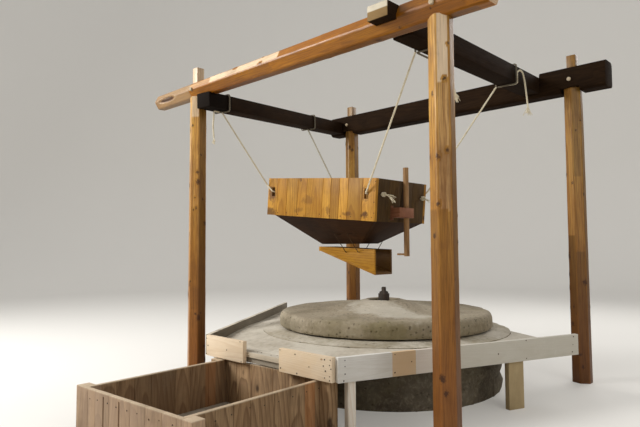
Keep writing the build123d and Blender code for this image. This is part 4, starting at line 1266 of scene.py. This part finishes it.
for name, rope in ropes.items():
    start, tie = rope["tie"]
    run = softRoute([start] + rope["run"])
    turn = softRoute(tie)
    laid = [Vector(p) for p in tie[:rope["laid"]]]
    onBeam = round(sum((b - a).length for a, b in zip(laid, laid[1:])) / routeStep)
    turnStain = [tiePlan["stain"] if i < onBeam else rope["stain"] for i in range(len(turn))]
    knot = knotAt(run[-1], rope["out"])
    chains = [(run, rope["stain"]), (turn, turnStain), (softRoute(knot, 0.004, 1), knotPlan["stain"])]
    part = pathPiece(name + "_laid", chains)
    finishPiece(runNodes(part, ropeTree, ropePlan), "frame", "rope", name)

# frayed ends, single yarns that fan out: start, direction, yarns, length, seed
frays = {
    "hopper_front_right": (throughWalls(0, -1, 0.030)[-1], (0.75, 0.55, -0.45), 9, 0.085, 91),
    "hopper_back_right": (throughWalls(0, 1, 0.030)[-1], (0.8, 0.1, -0.5), 6, 0.045, 92),
    "hopper_front_left": (throughWalls(0, -1, -0.999)[-1], (-0.8, 0.0, -0.5), 5, 0.035, 93),
    "beam_front_right": ((0.612, -0.128, 1.690), (0.1, 0.25, -1.0), 14, 0.060, 94),
    "beam_back_right": ((0.752, 0.497, 1.700), (0.0, 0.2, -1.0), 16, 0.065, 95),
    "beam_front_left": ((-0.780, -0.756, 1.545), (0.1, 0.0, -1.0), 10, 0.045, 96),
}
yarns = []
for start, direction, count, length, seed in frays.values():
    rng = random.Random(seed)
    for _ in range(count):
        point, heading = Vector(start), Vector(direction).normalized()
        heading += Vector(rng.uniform(-0.45, 0.45) for _ in range(3))
        reach = length * rng.uniform(0.55, 1.0)
        chain = [point]
        for i in range(6):
            heading += Vector((rng.uniform(-0.3, 0.3), rng.uniform(-0.3, 0.3), rng.uniform(-0.35, 0.1)))
            point = point + heading.normalized() * (reach / 6)
            chain.append(point)
        yarns.append((chain, 0.0))
finishPiece(runNodes(pathPiece("rope_frays", yarns), ropeTree, frayPlan), "frame", "rope")

cords = nodes["shoe_cords"].data
cords.materials.clear()
cords.materials.append(darkCord)
print("ropes ready")


# nails: heads set on the boards
def makeNailTree():
    tree, bench, inn, out = openGroup(
        "nailHeads", "Geometry",
        {"Geometry": ["Points"], "Int": ["Seed"], "Material": ["Finish"],
         "Float": ["Head Radius", "Head Height", "Smallest", "Largest"]},
        {"Geometry": ["Nails"]},
    )
    head = bench.add("GeometryNodeMeshCone", {"fill_type": "NGON"}, Vertices=9, Depth=inn.outputs["Head Height"])
    bench.put(head, "Radius Top", bench.times(inn.outputs["Head Radius"], 0.72))
    bench.put(head, "Radius Bottom", inn.outputs["Head Radius"])
    facing = bench.add("GeometryNodeInputNamedAttribute", {"data_type": "FLOAT_VECTOR"}, Name="outward")
    turn = bench.add("FunctionNodeAlignRotationToVector", {"axis": "Z"}, Vector=facing.outputs[0])
    size = bench.add("FunctionNodeRandomValue", {"data_type": "FLOAT"})
    sources = {"Min": "Smallest", "Max": "Largest", "Seed": "Seed"}
    for socket in size.inputs:
        if socket.enabled and socket.name in sources:
            tree.links.new(inn.outputs[sources[socket.name]], socket)
    dice = next(socket for socket in size.outputs if socket.enabled)
    placed = bench.add("GeometryNodeInstanceOnPoints", None, Points=inn.outputs["Points"],
                       Instance=head.outputs["Mesh"], Rotation=turn.outputs[0])
    tree.links.new(dice, placed.inputs["Scale"])
    closeTree(bench, placed.outputs[0], inn, out)
    return tree


nailPlan = {
    "Head Radius": 0.0034, "Head Height": 0.0016, "Smallest": 0.75, "Largest": 1.15, "Seed": 7, "stray": 0.007,
}
nailIron = stoneMaterial("nailIron", dict(ironLook, base=tint(58, 50, 44), dustAmount=0.0, pitSize=400.0))
nailPoints, nailFacings = [], []
nailDice = random.Random(99)


def nailRow(start, end, count, outward, stray=nailPlan["stray"]):
    # heads along a line, a little out of true as hand-driven nails are
    start, end, outward = Vector(start), Vector(end), Vector(outward).normalized()
    for i in range(count):
        share = i / (count - 1) if count > 1 else 0.5
        shift = Vector(nailDice.uniform(-stray, stray) for _ in range(3))
        shift -= outward * shift.dot(outward)
        nailPoints.append(start + (end - start) * share + shift)
        nailFacings.append(outward)


def uprightRow(spot, low, high, count, outward):
    nailRow(spot + Vector((0, 0, low)), spot + Vector((0, 0, high)), count, outward)


# fences: lengths of the side boards, from the deck's edge to a board's face, and the face of the front boards
fenceNails = {"right": 1.467, "left": 1.817, "out": 0.0242, "front": -1.0442}
rightOut = Vector((rightFence.y, -rightFence.x, 0))
leftOut = -Vector((leftFence.y, -leftFence.x, 0))
for share, count in ((0.022, 4), (0.20, 2), (0.26, 1), (0.40, 2), (0.62, 1), (0.74, 2), (0.97, 3)):
    spot = deckCorners["frontRight"] + rightOut * fenceNails["out"] + rightFence * (fenceNails["right"] * share)
    uprightRow(spot, 0.258, 0.342, count, rightOut)
for x, count in ((-0.418, 3), (-0.24, 1), (-0.125, 2), (0.185, 2), (0.29, 2), (0.38, 1), (0.47, 4), (0.503, 5)):
    nailRow((x, fenceNails["front"], 0.256), (x, fenceNails["front"], 0.346), count, (0, -1, 0), 0.009)
for share in (0.1, 0.35, 0.6, 0.85):
    spot = deckCorners["frontLeft"] + leftFence * (fenceNails["left"] * share) + leftOut * fenceNails["out"]
    uprightRow(spot, 0.268, 0.330, 2, leftOut)
# hopper: along the lower edge and up the corners
hopperFace = -0.2627
for x in (-0.955, -0.86, -0.775, -0.66, -0.56, -0.455, -0.36, -0.27, -0.18, -0.06, -0.02):
    nailRow(inHopper(x, hopperFace, 0.012), inHopper(x, hopperFace, 0.026), 1, (0, -1, 0), 0.006)
for x in (-0.961, -0.010):
    nailRow(inHopper(x, hopperFace, 0.05), inHopper(x, hopperFace, 0.24), 4, (0, -1, 0), 0.004)
for y in (-0.21, -0.12, -0.02, 0.09, 0.2):
    nailRow(inHopper(0.0003, y, 0.012), inHopper(0.0003, y, 0.02), 1, alongHopper, 0.005)
# bin: (direction out of the wall, its distance from the middle, along the wall, half its length)
for outward, away, alongWall, reach in ((-binAcross, 0.3982, binAlong, 0.335), (binAlong, 0.3552, binAcross, 0.378)):
    planks = 9
    for i in range(planks):
        spot = binMiddle + outward * away + alongWall * (reach * (2 * (i + 0.5) / planks - 1))
        uprightRow(spot, 0.030, 0.030, 1, outward)
        uprightRow(spot, 0.205, 0.205, 1, outward)
# deck
deckFace = 0.3003
for x, y in ((-0.36, -0.99), (-0.20, -0.99), (-0.06, -0.985), (0.06, -0.99), (0.22, -0.985), (0.40, -0.99),
             (-0.52, -0.80), (-0.60, -0.68), (-0.70, -0.52), (-0.80, -0.38), (0.56, -0.86)):
    nailRow((x, y, deckFace), (x + 0.03, y, deckFace), 2, (0, 0, 1))
heads = bpy.data.meshes.new("nail_heads")
heads.from_pydata([tuple(v) for v in nailPoints], [], [])
facing = heads.attributes.new("outward", "FLOAT_VECTOR", "POINT")
facing.data.foreach_set("vector", [c for v in nailFacings for c in v])
values = dict(nailPlan, Finish=nailIron)
finishPiece(runNodes(newObject("nail_heads", heads), makeNailTree(), values), "frame", "forged_iron")
print("nails ready:", len(nailPoints))


# floor, light and camera
stagePlan = {
    "radius": 11.0, "curve": 3.0, "height": 9.0, "colour": tint(214, 211, 205), "glow": 0.28,
    "sky": (0.96, 0.96, 0.97, 1.0), "skyStrength": 0.45,
}


def placeStage():
    material, bench, shader = newMaterial("paleFloor")
    for key, value in (("Base Color", stagePlan["colour"]), ("Emission Color", stagePlan["colour"]),
                       ("Roughness", 0.9), ("Specular IOR Level", 0.1)):
        bench.put(shader, key, value)
    rays = bench.add("ShaderNodeLightPath")
    bench.put(shader, "Emission Strength", bench.times(rays.outputs["Is Camera Ray"], stagePlan["glow"]))
    radius, curve = stagePlan["radius"], stagePlan["curve"]
    bends = [math.pi / 2 * i / 12 for i in range(13)]
    rows = [(0.4, 0.0), (radius - curve, 0.0)]
    rows += [(radius - curve + curve * math.sin(a), curve - curve * math.cos(a)) for a in bends[1:]]
    rows.append((radius, stagePlan["height"]))
    around = 96
    verts = [(r * math.cos(2 * math.pi * i / around), r * math.sin(2 * math.pi * i / around), z)
             for r, z in rows for i in range(around)]
    faces = [list(range(around))]
    for r in range(len(rows) - 1):
        for i in range(around):
            j = (i + 1) % around
            faces.append((r * around + i, r * around + j, (r + 1) * around + j, (r + 1) * around + i))
    mesh = plainMesh("studio_floor", verts, faces, material)
    mesh.polygons.foreach_set("use_smooth", [True] * len(mesh.polygons))
    newObject("studio_floor", mesh)


def areaLight(name, place, aim, size, power):
    data = bpy.data.lights.new(name, "AREA")
    data.shape = "RECTANGLE"
    data.size, data.size_y = size
    data.energy = power
    lamp = newObject(name, data)
    lamp.location = place
    lamp.rotation_euler = (Vector(aim) - Vector(place)).to_track_quat("-Z", "Y").to_euler()


placeStage()
# place, aim, size, power
lights = {
    "keyLight": ((-3.4, -4.2, 3.6), (0, -0.2, 0.9), (2.6, 2.6), 350),
    "fillLight": ((4.6, -1.6, 2.4), (0, 0, 0.9), (3.0, 3.0), 45),
    "backLight": ((0.5, 4.2, 3.6), (0, 0, 1.0), (3.0, 2.0), 90),
}
for name, light in lights.items():
    areaLight(name, *light)
world = bpy.data.worlds.new("studio")
world.use_nodes = True
sky = world.node_tree.nodes["Background"]
sky.inputs["Color"].default_value = stagePlan["sky"]
sky.inputs["Strength"].default_value = stagePlan["skyStrength"]
bpy.context.scene.world = world
bpy.context.scene.view_settings.view_transform = "Standard"

cameraPlan = {"place": (2.189, -2.845, 0.836), "yaw": 44.02, "pitch": 3.45, "roll": -0.3, "lens": 31.35}
camera = bpy.data.cameras.new("photoCamera")
camera.lens, camera.sensor_width, camera.sensor_fit = cameraPlan["lens"], 36.0, "HORIZONTAL"
cameraObject = newObject("photoCamera", camera)
cameraObject.matrix_world = Matrix.Translation(cameraPlan["place"])
for angle, axis in ((cameraPlan["yaw"], "Z"), (90 + cameraPlan["pitch"], "X"), (cameraPlan["roll"], "Z")):
    cameraObject.matrix_world = cameraObject.matrix_world @ Matrix.Rotation(math.radians(angle), 4, axis)
bpy.context.scene.camera = cameraObject
print("light and camera ready")

bpy.context.view_layer.update()
